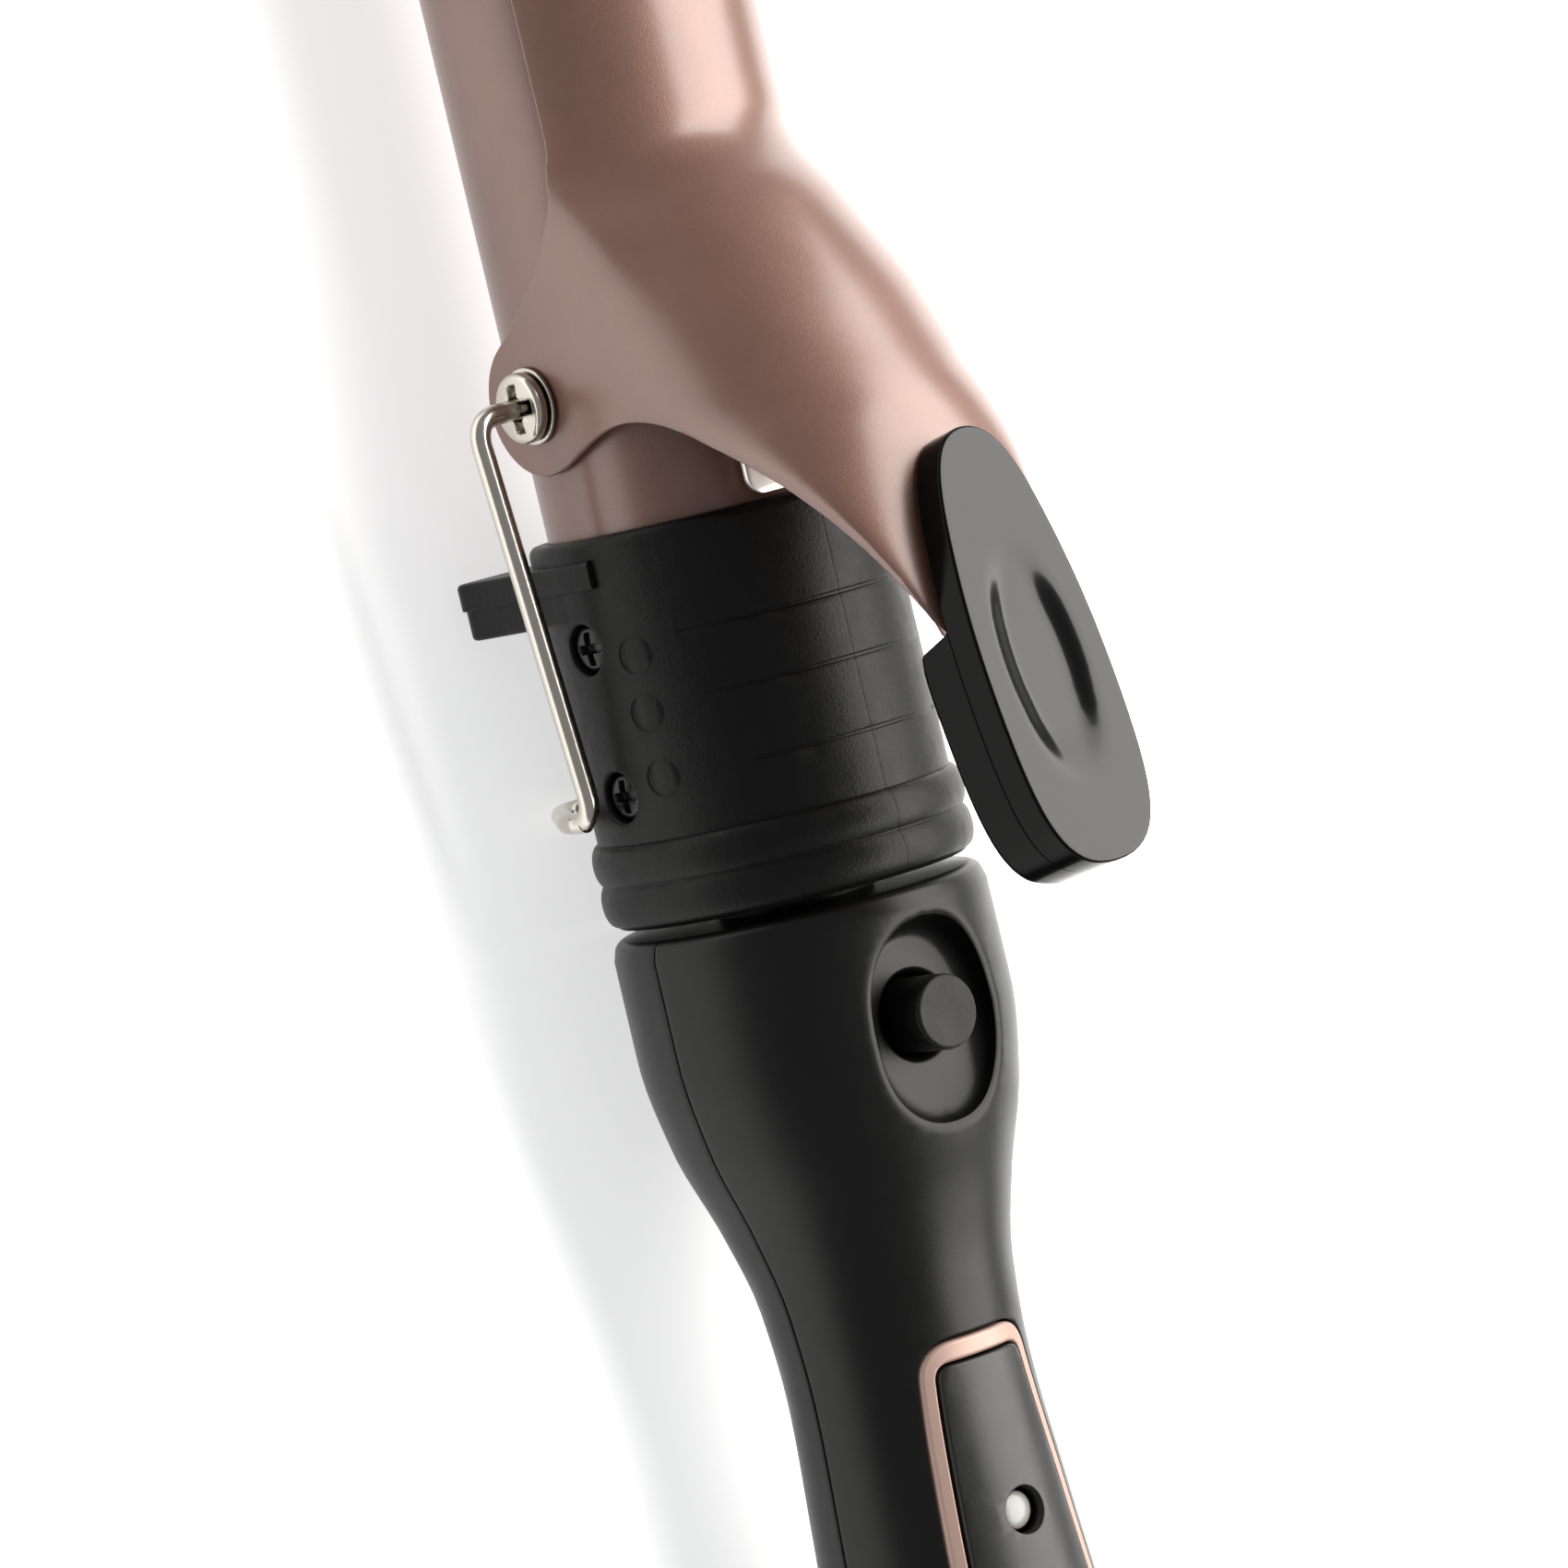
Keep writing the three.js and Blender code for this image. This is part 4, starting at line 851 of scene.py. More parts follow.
def lever_outline(inset, steps=16):
    length = LEVER_LENGTH - inset
    half = LEVER_HALF_WIDTH - inset
    side = [(inset, 0)]
    side += curved(side[0], [
        ((inset, 3.4), (3.5, 5.1 - inset), (9.5, 6.2 - inset), steps),
        ((15, 7.2 - inset), (20, half), (27, half), steps),
        ((39, half), (length, 6.6 - inset), (length, 0), steps),
    ])
    return side + [(x, -y) for x, y in reversed(side[1:-1])]


def lever_pad():
    """Dished pad: rings from the middle of the underside, over the rounded rim, to the dish."""
    edge = 0.35
    dish_depth = 1.0

    def target(x):
        return min(max(x, 9), 36)

    def dish(x, y):
        along = (x - 24) / 13
        wall = 5.4 * math.sqrt(max(0, 1 - along * along)) - abs(y)
        return dish_depth * ease(0, 2.9, wall) * ease(1, 0.35, abs(along))

    bottom = lever_outline(0.5)
    rows = [[(target(x) + (x - target(x)) * k, y * k, -PAD_THICKNESS) for x, y in bottom]
            for k in (0, 0.5, 1)]
    rows.append(at_height(lever_outline(0.16), -PAD_THICKNESS))
    rows.append(at_height(lever_outline(0.03), -PAD_THICKNESS + 0.14))
    for sine, cosine in quarter():
        rows.append(at_height(lever_outline(edge * (1 - cosine)), -edge + edge * sine))
    for k in np.linspace(0, 1, 22)[1:]:
        row = [(x + (target(x) - x) * k, y * (1 - k)) for x, y in lever_outline(edge)]
        rows.append([(x, y, -dish(x, y)) for x, y in row])
    shape = Shape()
    shape.rows(rows)
    return shape.mapped(lever_place)


def lever_base():
    """Housing under the pad, lofted along its length from rounded sections."""
    top = -PAD_THICKNESS - 0.04
    outline = [p for p in lever_outline(0.08, 60) if p[1] >= 0]
    xs = [p[0] for p in outline]
    ys = [p[1] for p in outline]
    front = 18.6
    back = max(xs)
    bottom = smooth_through([(front, -9.7), (20.4, -10.0), (30, -9.9), (39, -9.9), (43, -9.8),
                             (44.3, -9.3)])
    rows = []
    for k in np.linspace(0, 1, 44):
        x = front + (back - front) * (1 - (1 - k) ** 2.2)
        half = max(float(np.interp(x, xs, ys)), 0.05)
        low = bottom(x)
        corner = min(1.5, 0.8 * half, 0.45 * (top - low))
        section = rounded([(-half, top, 0.1), (half, top, 0.1), (half, low, corner),
                           (-half, low, corner)], step=12)
        curl = 1.9 * max(0, 1 - k * 6)
        rows.append([(x + curl * ((top - z) / 6.5) ** 2, y, z) for y, z in section])
    shape = Shape()
    shape.capped(evened(rows))
    return shape.mapped(lever_place)


def evened(rows):
    """Closed rows of points, each spread over as many points as the shortest has."""
    count = min(len(row) for row in rows)
    out = []
    for row in rows:
        if len(row) != count:
            places = np.linspace(0, len(row), count, endpoint=False)
            row = [tuple(Vector(row[int(p)]).lerp(Vector(row[(int(p) + 1) % len(row)]), p - int(p)))
                   for p in places]
        out.append(row)
    return out


# ---- Screws and washers ----


def cross_screw(place, radius, height, shank, length, bore=0.0):
    """A pan-head screw with a cross recess. a = 0 is the underside of its head."""
    turns = full_turn(144)
    rim = 0.34 * height
    reach = 0.74 * radius
    width = 0.34 * radius
    deep = 0.7 * height

    def ring(a, r):
        return [place(a, r, t) for t in turns]

    def top(r):
        return height - 0.16 * height * (r / radius) ** 2

    def recess(r, turn):
        x, y = abs(r * math.cos(turn)), abs(r * math.sin(turn))
        along, across = max(x, y), min(x, y)
        slot = ease(width / 2 + 0.09, width / 2 - 0.03, across)
        return deep * slot * ease(reach, 0.7 * reach, along)

    rows = [ring(-length, bore), ring(0.2 * height, bore)] if bore else [ring(top(0) - deep, 0)]
    for r in np.linspace(bore * 1.02 or 0.05, radius - rim, 30):
        rows.append([place(top(r) - recess(r, t), r, t) for t in turns])
    for sine, cosine in quarter(15):
        r = radius - rim + rim * sine
        rows.append(ring(top(r) - rim + rim * cosine, r))
    rows += [ring(0.12, radius), ring(0, radius - 0.12), ring(0, shank), ring(-length + 0.3, shank),
             ring(-length, shank - 0.3)]
    if not bore:
        rows.append(ring(-length, 0))
    shape = Shape()
    shape.rows(rows, loop=bool(bore))
    return shape


def rod(place, radius, start, end, around=48):
    return turned([(start, 0), (start, radius), (end, radius), (end, 0)], place, around)


def washer(place, inner, outer, thickness):
    return turned(rounded([
        (0, inner), (0, outer, 0.12), (thickness, outer, 0.15), (thickness, inner),
    ]), place, 72)


# ---- Wire rest ----


def wire_rest():
    half = [
        (0, 10.6, PIVOT_Z), (0, REST_WIDE_Y, PIVOT_Z), (REST_REACH_S, REST_NARROW_Y, PIVOT_Z - 1),
        (REST_REACH_S, REST_NARROW_Y, REST_KNEE_Z),
        (REST_REACH_S, REST_FOOT_Y, REST_BOTTOM + WIRE_RADIUS),
    ]
    mirrored = [(s, -y, z) for s, y, z in reversed(half)]
    return swept(bent(half + mirrored, 3.0), WIRE_RADIUS, 24)


# ---- Collar ----


def wrapped(profile, outer_count, lengths, turns, scale, place, groups, margin, cap_axis, walls=()):
    """Half a shell: a closed profile swept through turns, with rings set into it and capped edges.

    Each ring is its places on a flat map and its points in space. A group's rings are nested, the
    widest first. walls are pairs of groups whose last rings are open and joined through the shell.
    """
    flats = [(length, t * scale) for length in lengths for t in turns]
    solids = [place(s, r, t, i < outer_count) for i, (s, r) in enumerate(profile) for t in turns]
    points = np.array(flats)
    keep = np.ones(len(points), bool)
    rings, last = [], []
    for group in groups:
        keep &= ~inside(points, group[0][0]) & far_from(points, group[0][0], margin)
        rings += group
        last.append(len(rings) - 1)
    columns, count = len(turns), len(profile)
    edge = list(range(columns))
    edge += [i * columns + columns - 1 for i in range(1, count)]
    edge += [(count - 1) * columns + j for j in range(columns - 2, -1, -1)]
    edge += [i * columns for i in range(count - 2, 0, -1)]
    keep[edge] = False
    loose = np.flatnonzero(keep)
    maps = [ring[0] for ring in rings]
    faces = triangles([[flats[i] for i in edge]] + maps, [flats[i] for i in loose],
                      [maps[last[i]] for pair in walls for i in pair])
    shape = Shape()
    indices = shape.add([solids[i] for i in edge])
    placed = [shape.add(ring[1]) for ring in rings]
    indices += sum(placed, []) + shape.add([solids[i] for i in loose])
    shape.patch(faces, indices)
    for one, two in walls:
        shape.strip(placed[last[one]], placed[last[two]])
    for j in (0, columns - 1):
        cap = [solids[i * columns + j] for i in range(count - 1)]
        shape.patch(triangles([[(p[0], abs(p[cap_axis])) for p in cap]], []), shape.add(cap))
    return shape


def collar_outer(s):
    """Outer radius of the collar at a station."""
    bump = max(0, *(1 - ((s - ring) / RING_REACH) ** 2 for ring in RINGS))
    return (COLLAR_RADIUS - end_drop(s - COLLAR_FRONT, RIM_LENGTH, RIM_DROP) + math.sqrt(bump)
            - 0.3 * max(0, (s - COLLAR_BACK + 0.3) / 0.3))


def groove_depth(s, turn):
    """Depth of the fine grooves round the collar's top."""
    return sum(0.15 * ease(end + 1.5, end - 1.0, math.degrees(turn))
               * ease(GROOVE_HALF, 0.12, abs(s - station)) for station, end in GROOVES)


def side_rings(s0, z0, levels):
    """Nested rings round a point on the collar's side, from (radius, depth or None, floor's y)."""
    group = []
    for radius, depth, floor in levels:
        ring = circle((s0, z0), radius, 36)
        flat = [(s - COLLAR_FRONT, math.acos(z / COLLAR_RADIUS) * COLLAR_RADIUS) for s, z in ring]
        group.append((flat, [
            (s, floor if depth is None else math.sqrt(COLLAR_RADIUS**2 - z * z) - depth, z)
            for s, z in ring]))
    return group


SCREW_RECESS = [(2.95, 0, 0), (2.75, 0.05, 0), (2.62, 0.2, 0), (2.56, 0.6, 0), (2.54, None, 15.55),
                (2.5, None, 15.42)]
MOULDING_MARK = [(1.95, 0, 0), (1.86, 0.1, 0), (1.74, 0.12, 0), (1.64, 0.05, 0)]


def collar_half(side, marked):
    """One half of the collar. marked adds the screw recesses and the round moulding marks."""
    rows = [COLLAR_FRONT + RIM_LENGTH * (1 - math.cos(math.radians(d))) for d in range(0, 90, 15)]
    rows += list(np.arange(COLLAR_FRONT + RIM_LENGTH, RINGS[0] - RING_REACH, 1.3))
    for groove, _ in GROOVES:
        rows += [groove + d * GROOVE_HALF for d in (-1, -0.75, -0.4, 0, 0.4, 0.75, 1)]
    for ring in RINGS:
        rows += [ring + RING_REACH * math.sin(math.radians(d)) for d in range(-90, 91, 10)]
    rows += [COLLAR_BACK - 0.3, COLLAR_BACK]
    outer = [(s, collar_outer(s)) for s in sorted({round(r, 3) for r in rows if r <= COLLAR_BACK})]
    seat = BARREL_RADIUS + GAP
    inner = rounded([
        outer[-1], (COLLAR_BACK, 8.3, 0.4), (COLLAR_BACK - 3, 8.3), (COLLAR_BACK - 3, 15.2),
        (BARREL_BACK + GAP, 15.2), (BARREL_BACK + GAP, seat), (COLLAR_FRONT, seat, 0.3), outer[0],
    ], closed=False)[1:]
    lengths = [s - COLLAR_FRONT for s, _ in outer]
    for before, point in zip([outer[-1], *inner], inner):
        lengths.append(lengths[-1] + math.dist(before, point))
    turns = [0, 0.4, 0.9, 1.6, *np.arange(3.5, 176.6, 2.75), 178.4, 179.1, 179.6, 180]
    turns += [end + past for _, end in GROOVES for past in (-1, 0.3, 1.5)]

    def place(s, r, degrees, is_outer):
        limit = math.asin(SEAM / r)
        turn = limit + math.radians(degrees) / math.pi * (math.pi - 2 * limit)
        if is_outer:
            off_seam = min(degrees, 180 - degrees) * math.radians(1) * COLLAR_RADIUS
            r -= 0.02 * max(0, 1 - off_seam / 0.2) ** 2 + groove_depth(s, turn)
        return (s, r * math.sin(turn), r * math.cos(turn))

    groups = []
    if marked:
        groups += [side_rings(s, COLLAR_SCREW_Z, SCREW_RECESS) for s in COLLAR_SCREWS]
        groups += [side_rings(s, z, MOULDING_MARK) for s, z in MOULDING_MARKS]
    shape = wrapped(outer + inner, len(outer), lengths, sorted(turns), math.radians(COLLAR_RADIUS),
                    place, groups, 0.3, 2)
    add_foot(shape)
    return shape.mapped(lambda s, y, z: (s, side * y, z))


def add_foot(shape):
    """The foot flange round the collar's lower part, flat below, as a closed band of its own."""
    half_width = COLLAR_RADIUS + 0.4
    flat = half_width - FOOT_CORNER
    rise = FOOT_BOTTOM + FOOT_CORNER
    line = [(half_width, z) for z in np.linspace(FOOT_TOP_Z, rise, 22)]
    line += arc((flat, rise), FOOT_CORNER, 0, -90, 12)[1:]
    line += [(y, FOOT_BOTTOM) for y in np.linspace(flat, SEAM, 16)[1:]]
    base_r = COLLAR_RADIUS - 0.5
    rows = []
    for y, z in line:
        turn = math.atan2(y, z)
        base = (base_r * math.sin(turn), base_r * math.cos(turn))
        if y <= SEAM + 0.01:
            base = (SEAM, -base_r)
        out = Vector((y - base[0], z - base[1]))
        tall = out.length
        out.normalize()
        lip = max(tall - 0.4, 0.2) if z < -2.5 else 0.35
        profile = rounded([
            (16.1, 0), (16.1, tall, 0.5), (18.9, tall, 0.25), (18.9, lip, 0.12), (22, lip, 0.5),
            (22, 0),
        ], step=22.5)
        rows.append([(s, base[0] + out.x * reach, base[1] + out.y * reach) for s, reach in profile])
    shape.capped(evened(rows))


# ---- Handle ----

outline_radius = smooth_through(HANDLE_OUTLINE)


def handle_radius(s):
    """Outer radius of the handle, with its two ends rounded off."""
    along = s - HANDLE_FRONT
    return outline_radius(along) - end_drop(along, 0.8, 0.8) - end_drop(HANDLE_BACK - s, 2.5, 2.2)


def surface_z(s, y, inward=0):
    return math.sqrt(max((handle_radius(s) - inward) ** 2 - y * y, 0.01))


def on_surface(outline, inward=0):
    """The outline laid on the handle, or on a surface some way inside it."""
    return [(s, y, surface_z(s, y, inward)) for s, y in outline]


def panel_outline(inset):
    """The trim's outline seen from above, as (s, y)."""
    corner = 3.6 - inset
    front = PANEL_FRONT + inset
    back = PANEL_BACK - inset
    narrow = inset + TRIM_NARROW * (1 - min(max(inset, 0) / TRIM_WIDTH, 1))
    front_half = 7.5 - narrow
    back_half = 8.6 - narrow
    half = [(front, (front_half - corner) * i / 5) for i in range(1, 6)]
    for b, c, count in (((front, front_half), (front + corner, front_half + 0.2), 8),
                        ((150, 12.3 - narrow), (back - corner, back_half), 42),
                        ((back, back_half), (back, back_half - corner), 8)):
        a = half[-1]
        half += [tuple((1 - t) ** 2 * a[k] + 2 * t * (1 - t) * b[k] + t * t * c[k] for k in (0, 1))
                 for t in (i / count for i in range(1, count + 1))]
    half += [(back, (back_half - corner) * i / 5) for i in range(4, 0, -1)]
    return half + [(s, -y) for s, y in reversed(half)]


def oval(turn):
    """A point of a slightly squared circle."""
    return [math.copysign(abs(v) ** (2 / 2.25), v) for v in (math.cos(turn), math.sin(turn))]


def rim(spread):
    """The outline of the release button's recess seen from above, spread a little."""
    return [(RECESS_S + a * (RECESS_HALF_LENGTH + spread), b * (RECESS_HALF_WIDTH + spread))
            for a, b in map(oval, full_turn(72))]


def recess_ring(level):
    """One ring of the release button's recess; level runs from 0 at the rim to 1 at the floor."""
    lean = 1 - math.cos(math.radians(90 * level))
    drop = math.sin(math.radians(90 * level))
    ring = []
    for turn, edge in zip(full_turn(72), rim(0)):
        a, b = oval(turn)
        inset = 2.3 + 3.2 * ease(0.2, 1, math.cos(turn))
        s = RECESS_S + a * (RECESS_HALF_LENGTH - inset * lean)
        top = surface_z(*edge) - 0.7
        ring.append((s, b * (RECESS_HALF_WIDTH - 2.3 * lean), top + (RECESS_FLOOR_Z - top) * drop))
    return ring


def front_openings():
    """Rings in the front shell from outside and from inside, for the button and for the panel."""
    hole = [at_height(circle((RELEASE_S, 0), radius, 48), RECESS_FLOOR_Z - depth)
            for radius, depth in ((4.95, 0), (4.7, 0.08), (4.5, 0.35), (4.3, 1), (4.3, 2))]
    recess = [[(s, y, surface_z(s, y) - depth) for s, y in rim(spread)]
              for spread, depth in ((1.3, 0), (0.8, 0.04), (0.4, 0.15), (0.12, 0.38))]
    recess += [recess_ring(level) for level in (0.02, 0.15, 0.3, 0.45, 0.6, 0.75, 0.88, 1.0)]
    basin = [on_surface(rim(1.6), HANDLE_WALL), at_height(rim(1.2), RECESS_FLOOR_Z - 2), hole[-1]]
    panel = [on_surface(panel_outline(-inset), depth)
             for inset, depth in ((0.6, 0), (0.42, 0.03), (0.3, 0.14), (0.25, 0.4))]
    return [recess + hole[:-1], basin, panel, [on_surface(panel_outline(-0.25), HANDLE_WALL)]]


def screw_wells(s0):
    """Rings in the rear shell from outside and from inside, for one of its screws."""
    seat = handle_radius(s0) - 3.4

    def around(radius):
        return circle((s0, 0), radius, 40)

    well = [[(s, y, surface_z(s, y) - depth) for s, y in around(radius)]
            for radius, depth in ((3.35, 0), (3.15, 0.05), (3.04, 0.2), (3.0, 0.5))]
    well += [at_height(around(2.95), seat), at_height(around(2.8), seat - 0.02)]
    return [well, [on_surface(around(3.9), HANDLE_WALL), at_height(around(3.6), seat - 1.6)]]


def handle_shell(side):
    """Front (side = 1) or rear shell of the handle, closed, with its cut-outs through the wall."""
    outer_s = [HANDLE_FRONT + 0.8 * (1 - cosine) for _, cosine in quarter()]
    outer_s += list(np.arange(HANDLE_FRONT + 2, HANDLE_BACK - 3, 1.9))
    outer_s += [HANDLE_BACK - 2.5 * cosine for _, cosine in quarter(step=10)]
    outer = [(s, handle_radius(s)) for s in outer_s]
    inner = [(s, handle_radius(s) - HANDLE_WALL)
             for s in np.linspace(HANDLE_BACK - HANDLE_WALL, HANDLE_FRONT + FRONT_WALL, 60)]
    mouth = 8.4
    outlet = 6.4
    profile = outer + [(HANDLE_BACK, outlet), (HANDLE_BACK - HANDLE_WALL, outlet)] + inner
    profile += [(HANDLE_FRONT + FRONT_WALL, mouth), (HANDLE_FRONT, mouth), outer[0]]
    lengths = [0.0]
    for a, b in zip(profile, profile[1:]):
        lengths.append(lengths[-1] + math.dist(a, b))
    turns = [way * t for way in (-1, 1) for t in (1, 0.994, 0.985, 0.975)]
    turns += list(np.linspace(-0.955, 0.955, 45))
    scale = 27.0

    def place(s, r, t, is_outer):
        turn = t * (math.pi / 2 - math.asin(PARTING / r))
        if is_outer:
            r -= 0.12 * max(0, 1 - (1 - abs(t)) * scale / 0.35) ** 2
        return (s, r * math.sin(turn), r * math.cos(turn))

    def mapped(ring, is_inner):
        """A ring with its places on the flat map, on the outer or the inner face."""
        first = len(outer) + 2
        face = slice(first + len(inner) - 1, first - 1, -1) if is_inner else slice(0, len(outer))
        places = [p[0] for p in profile[face]]
        flat = []
        for s, y, _ in ring:
            r = handle_radius(s) - HANDLE_WALL * is_inner
            t = math.asin(max(-1, min(1, y / r))) / (math.pi / 2 - math.asin(PARTING / r))
            flat.append((float(np.interp(s, places, lengths[face])), t * scale))
        return flat, ring

    groups = front_openings() if side > 0 else sum(map(screw_wells, HANDLE_SCREWS), [])
    groups = [[mapped(ring, i % 2) for ring in group] for i, group in enumerate(groups)]
    shape = wrapped(profile, len(outer), lengths, sorted(turns), scale, place, groups, 0.35, 1,
                    [(0, 1), (2, 3)] if side > 0 else [])
    return shape.mapped(lambda s, y, z: (s, y, side * z))


def trim_frame():
    """Band round the control panel, lofted along its outline from a rounded section."""
    edge = 0.45
    section = rounded([(0, -1.8), (0, 0.15, edge), (TRIM_WIDTH, 0.15, edge), (TRIM_WIDTH, -1.8)])
    shape = Shape()
    shape.rows([on_surface(panel_outline(inset), -rise) for inset, rise in section], loop=True)
    return shape


def key_outline(key, margin):
    low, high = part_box(f"{key}_button")
    s0 = station(f"{key}_button")
    half_length = (high.x - low.x) / 2 / MM - 0.7 + margin
    half_width = (high.y - low.y) / 2 / MM - 0.7 + margin
    radius = min(half_length, half_width) - 0.01
    corners = [(s0 + a * half_length, b * half_width, radius)
               for a, b in ((-1, -1), (1, -1), (1, 1), (-1, 1))]
    return resampled(rounded(corners, step=8), 0.8)


def panel_insert():
    outline = panel_outline(TRIM_WIDTH + 0.25)
    holes = [circle((INDICATOR_S, 0), 2.35, 48)]
    holes += [key_outline(key, GAP) for key in KEYS]

    def place(s, y, depth):
        return (s, y, surface_z(s, y, depth - 0.3))

    return folded_sheet(outline, holes, place, 1.9, 1.1, 0.3)


def key_cap(key):
    """A push button whose domed top has a shallow dish."""
    outline = key_outline(key, 0)
    centre = sum(p[0] for p in outline) / len(outline)
    low = heights(f"{key}_button")[0]
    flange = key_outline(key, 0.6)
    rows = [at_height(flange, low), at_height(flange, low + 0.7), at_height(outline, low + 0.8)]
    edge = 0.5
    rise = 0.8
    for sine, cosine in quarter():
        ring = moved_in(turned_left(outline), edge * (1 - cosine))
        rows.append([(s, y, surface_z(s, y, -rise) - edge * (1 - sine)) for s, y in ring])
    top = moved_in(turned_left(outline), edge)
    for k in np.linspace(0, 1, 10)[1:]:
        ring = [(s + (centre - s) * k, y * (1 - k)) for s, y in top]
        rows.append([(s, y, surface_z(s, y, -rise) - 0.22 * (1 - (1 - k) ** 2)) for s, y in ring])
    shape = Shape()
    shape.capped(rows)
    return shape


def release_button():
    low = heights("release_button")[0]
    radius = 3.8
    profile = rounded([
        (low, 0), (low, radius), (RELEASE_TOP, radius, 0.45), (RELEASE_TOP - 0.12, 0),
    ], closed=False)
    return turned(profile, about_z(RELEASE_S), 72)


def coil_spring():
    """The release button's spring: four coils between two flattened ends."""
    wire = 0.35
    coil = 2.3
    low, high = heights("release_spring")
    route = []
    for i in range(241):
        turn = 10 * math.pi * i / 240
        rise = min(max((turn / math.pi - 1) / 8, 0), 1)
        height = low + wire + (high - low - 2 * wire) * rise
        route.append((RELEASE_S - coil * math.cos(turn), coil * math.sin(turn), height))
    return swept(route, wire, 14)


def indicator_lens():
    low, top = heights("indicator_lens")
    radius = 1.95
    dome = 0.55
    profile = [(low, 0), (low, radius), (top - dome, radius)]
    profile += [(top - dome + dome * sine, radius * cosine) for sine, cosine in quarter(15)]
    return turned(profile, about_z(INDICATOR_S), 48)


def gland():
    flange = HANDLE_BACK - HANDLE_WALL - GAP
    corners = [(GLAND_FRONT, 3.4), (GLAND_FRONT, 9, 0.4), (flange, 9, 0.2), (flange, 6),
               (HANDLE_BACK + 0.5, 6), (HANDLE_BACK + 0.5, 7.8, 0.5)]
    corners += grooves((222.2, 224.2), 7.5, 0.6, 7.4, 0.7)
    corners += [(GLAND_BACK - 1, 6.6, 1.0), (GLAND_BACK, 4.6, 0.6), (GLAND_BACK, 3.4, 0.3)]
    return turned(rounded(corners))


# ---- Room ----


def floor():
    reach = 12.0
    sheet = bpy.data.meshes.new("floor")
    corners = [(-reach, -reach, 0), (reach, -reach, 0), (reach, reach, 0), (-reach, reach, 0)]
    sheet.from_pydata(corners, [], [(0, 1, 2, 3)])
    paper = surface("floor_paper", (0.82, 0.82, 0.82), (0.8, 0.8, 0.8), 0.8, 0.05, 6, 300, 0.00002)
    tree = paper.node_tree
    fill(tree, tree.nodes["Principled BSDF"].inputs,
         {"Emission Color": (1, 1, 1, 1), "Emission Strength": 0.62})
    sheet.materials.append(paper)
    linked("floor", sheet)


def studio():
    """Even light from the world, and one softbox in front of the iron and above it."""
    scene = bpy.context.scene
    scene.world = bpy.data.worlds.new("studio")
    scene.world.use_nodes = True
    tree = scene.world.node_tree
    fill(tree, tree.nodes["Background"].inputs, {"Color": (0.9, 0.92, 0.95, 1), "Strength": 0.38})
    scene.view_settings.view_transform = "Standard"
    data = bpy.data.lights.new("softbox", "AREA")
    data.shape = "RECTANGLE"
    data.size, data.size_y = 1.9, 1.15
    data.energy = 46
    data.color = (1, 0.985, 0.95)
    softbox = linked("softbox", data)
    softbox.location = (0.11, -0.65, 0.89)
    softbox.rotation_euler = (-softbox.location).to_track_quat("-Z", "Y").to_euler()


def camera():
    """Three quarters from above, tilted so that the iron stands almost upright in the picture."""
    lean = math.radians(4)
    back = Vector((math.sin(lean), 0.616 * math.cos(lean), 0.788 * math.cos(lean))).normalized()
    along = (Vector((1, 0, 0)) - back * back.x).normalized()
    left = back.cross(along)
    roll = (0.230, 0.973)
    right = -roll[1] * left - roll[0] * along
    up = roll[1] * along - roll[0] * left
    distance = 0.75
    width = 0.1581
    aim = at(43, 0, 0) - left * 1.5 * MM
    data = bpy.data.cameras.new("camera")
    data.sensor_width = 36
    data.lens = 36 * distance / width
    data.clip_start = 0.01
    thing = linked("camera", data)
    turn = Matrix((right, up, back)).transposed().to_4x4()
    thing.matrix_world = Matrix.Translation(aim + back * distance) @ turn
    bpy.context.scene.camera = thing


# ---- Assembly ----

paint_frame()
camera()
studio()
floor()

piece("barrel", barrel(), "rose_gold", "barrel", "barrel_tube")
piece("tip_cap", tip_cap(), "collar_plastic", "barrel", "cool_tip")
piece("clamp", clamp_plate(), "rose_gold", "clamp", "clamp_plate")
spring = piece("leaf_spring", leaf_spring(), "spring_steel", None, "clamp_spring")
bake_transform(spring)
piece("thumb_pad", lever_pad(), "lever_plastic", "clamp", "lever_pad")
piece("lever_housing", lever_base(), "lever_plastic", "clamp", "lever_base",
      cuts=[rod(leaning(x), 2.6, 8, 12) for x in LEVER_SCREWS])
for word, x in zip(("front", "rear"), LEVER_SCREWS):
    piece(f"tongue_screw_{word}", cross_screw(shifted(leaning(x), 8), 2.2, 1, 1.2, 5.6),
          "nickel", "clamp", f"lever_screw_{word}")
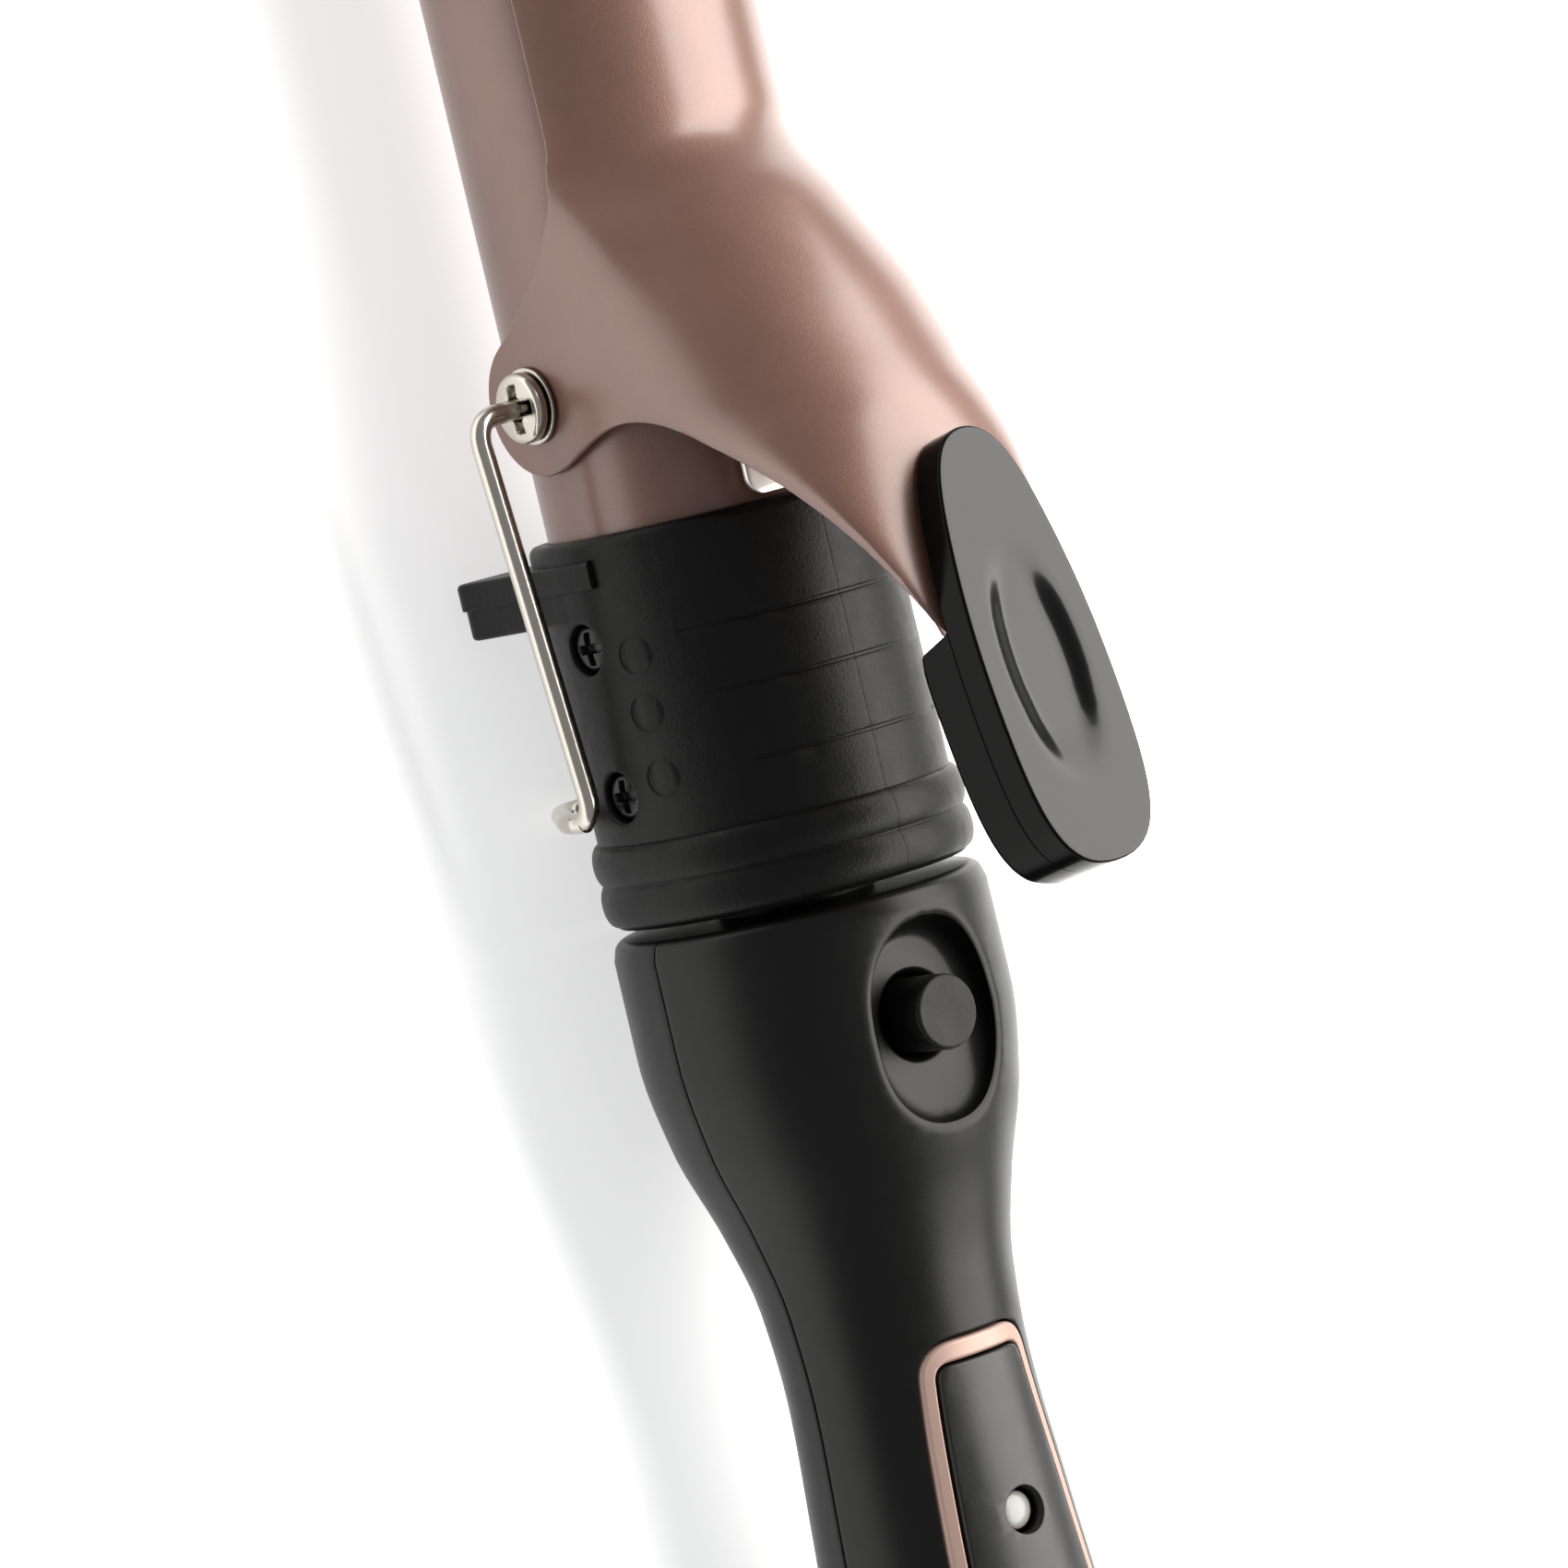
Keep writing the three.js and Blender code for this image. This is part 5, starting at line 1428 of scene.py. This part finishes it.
for word, way in (("left", 1), ("right", -1)):
    washer_y = middle(f"pivot_washer_{word}").y / MM * way
    line = about_y(way, 0, PIVOT_Z)
    piece(f"hinge_screw_{word}",
          cross_screw(shifted(line, washer_y + 0.45), 3.55, 1.4, 2, 7.2, 1.35),
          "nickel", "barrel", f"pivot_screw_{word}")
    piece(f"hinge_washer_{word}", washer(shifted(line, washer_y - 0.2), 2.3, 3.9, 0.4),
          "nickel", "barrel", f"pivot_washer_{word}")
    piece(f"collar_half_{word}", collar_half(way, way > 0), "collar_plastic", "barrel",
          f"collar_shell_{word}")
for word, s in zip(("front", "rear"), COLLAR_SCREWS):
    seat = shifted(about_y(1, s, COLLAR_SCREW_Z), 16.0)
    piece(f"clamping_screw_{word}", cross_screw(seat, 2.4, 1.6, 1.5, 24),
          "black_steel", "barrel", f"collar_screw_{word}")
piece("rest_wire", wire_rest(), "nickel", "rest", "wire_rest")
piece("grip_front", handle_shell(1), "grip_plastic", "handle", "handle_front_shell")
piece("grip_rear", handle_shell(-1), "grip_plastic", "handle", "handle_rear_shell")
piece("trim_frame", trim_frame(), "rose_trim", "handle", "panel_trim")
piece("control_panel", panel_insert(), "panel_plastic", "handle", "panel_insert")
for key in KEYS:
    piece(f"{key}_cap", key_cap(key), "lever_plastic", f"{key}_key", f"{key}_button")
for word, s in zip(("front", "rear"), HANDLE_SCREWS):
    low, high = heights(f"handle_screw_{word}")
    seat = about_z(s, way=-1, base=low + 1.7)
    piece(f"grip_screw_{word}", cross_screw(seat, 2.5, 1.7, 1.5, high - low - 1.7), "nickel",
          "handle", f"handle_screw_{word}")
piece("spigot", spigot(), "collar_plastic", "barrel", "plug_housing",
      cuts=[rod(along_x(way * CONTACT_Y), 1.6, SPIGOT_END - 8, SPIGOT_END + 1) for way in (1, -1)])
for word, way in (("left", 1), ("right", -1)):
    piece(f"contact_{word}", contact(way), "brass", "barrel", f"plug_contact_{word}")
piece("release_cap", release_button(), "collar_plastic", "release", "release_button")
coil = piece("return_coil", coil_spring(), "spring_steel", "handle", "release_spring")
low, high = heights("release_spring")
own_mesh(coil)
piece("indicator_dome", indicator_lens(), "lens_plastic", "handle", "indicator_lens")
piece("cord_outlet", gland(), "collar_plastic", "gland", "cord_gland")
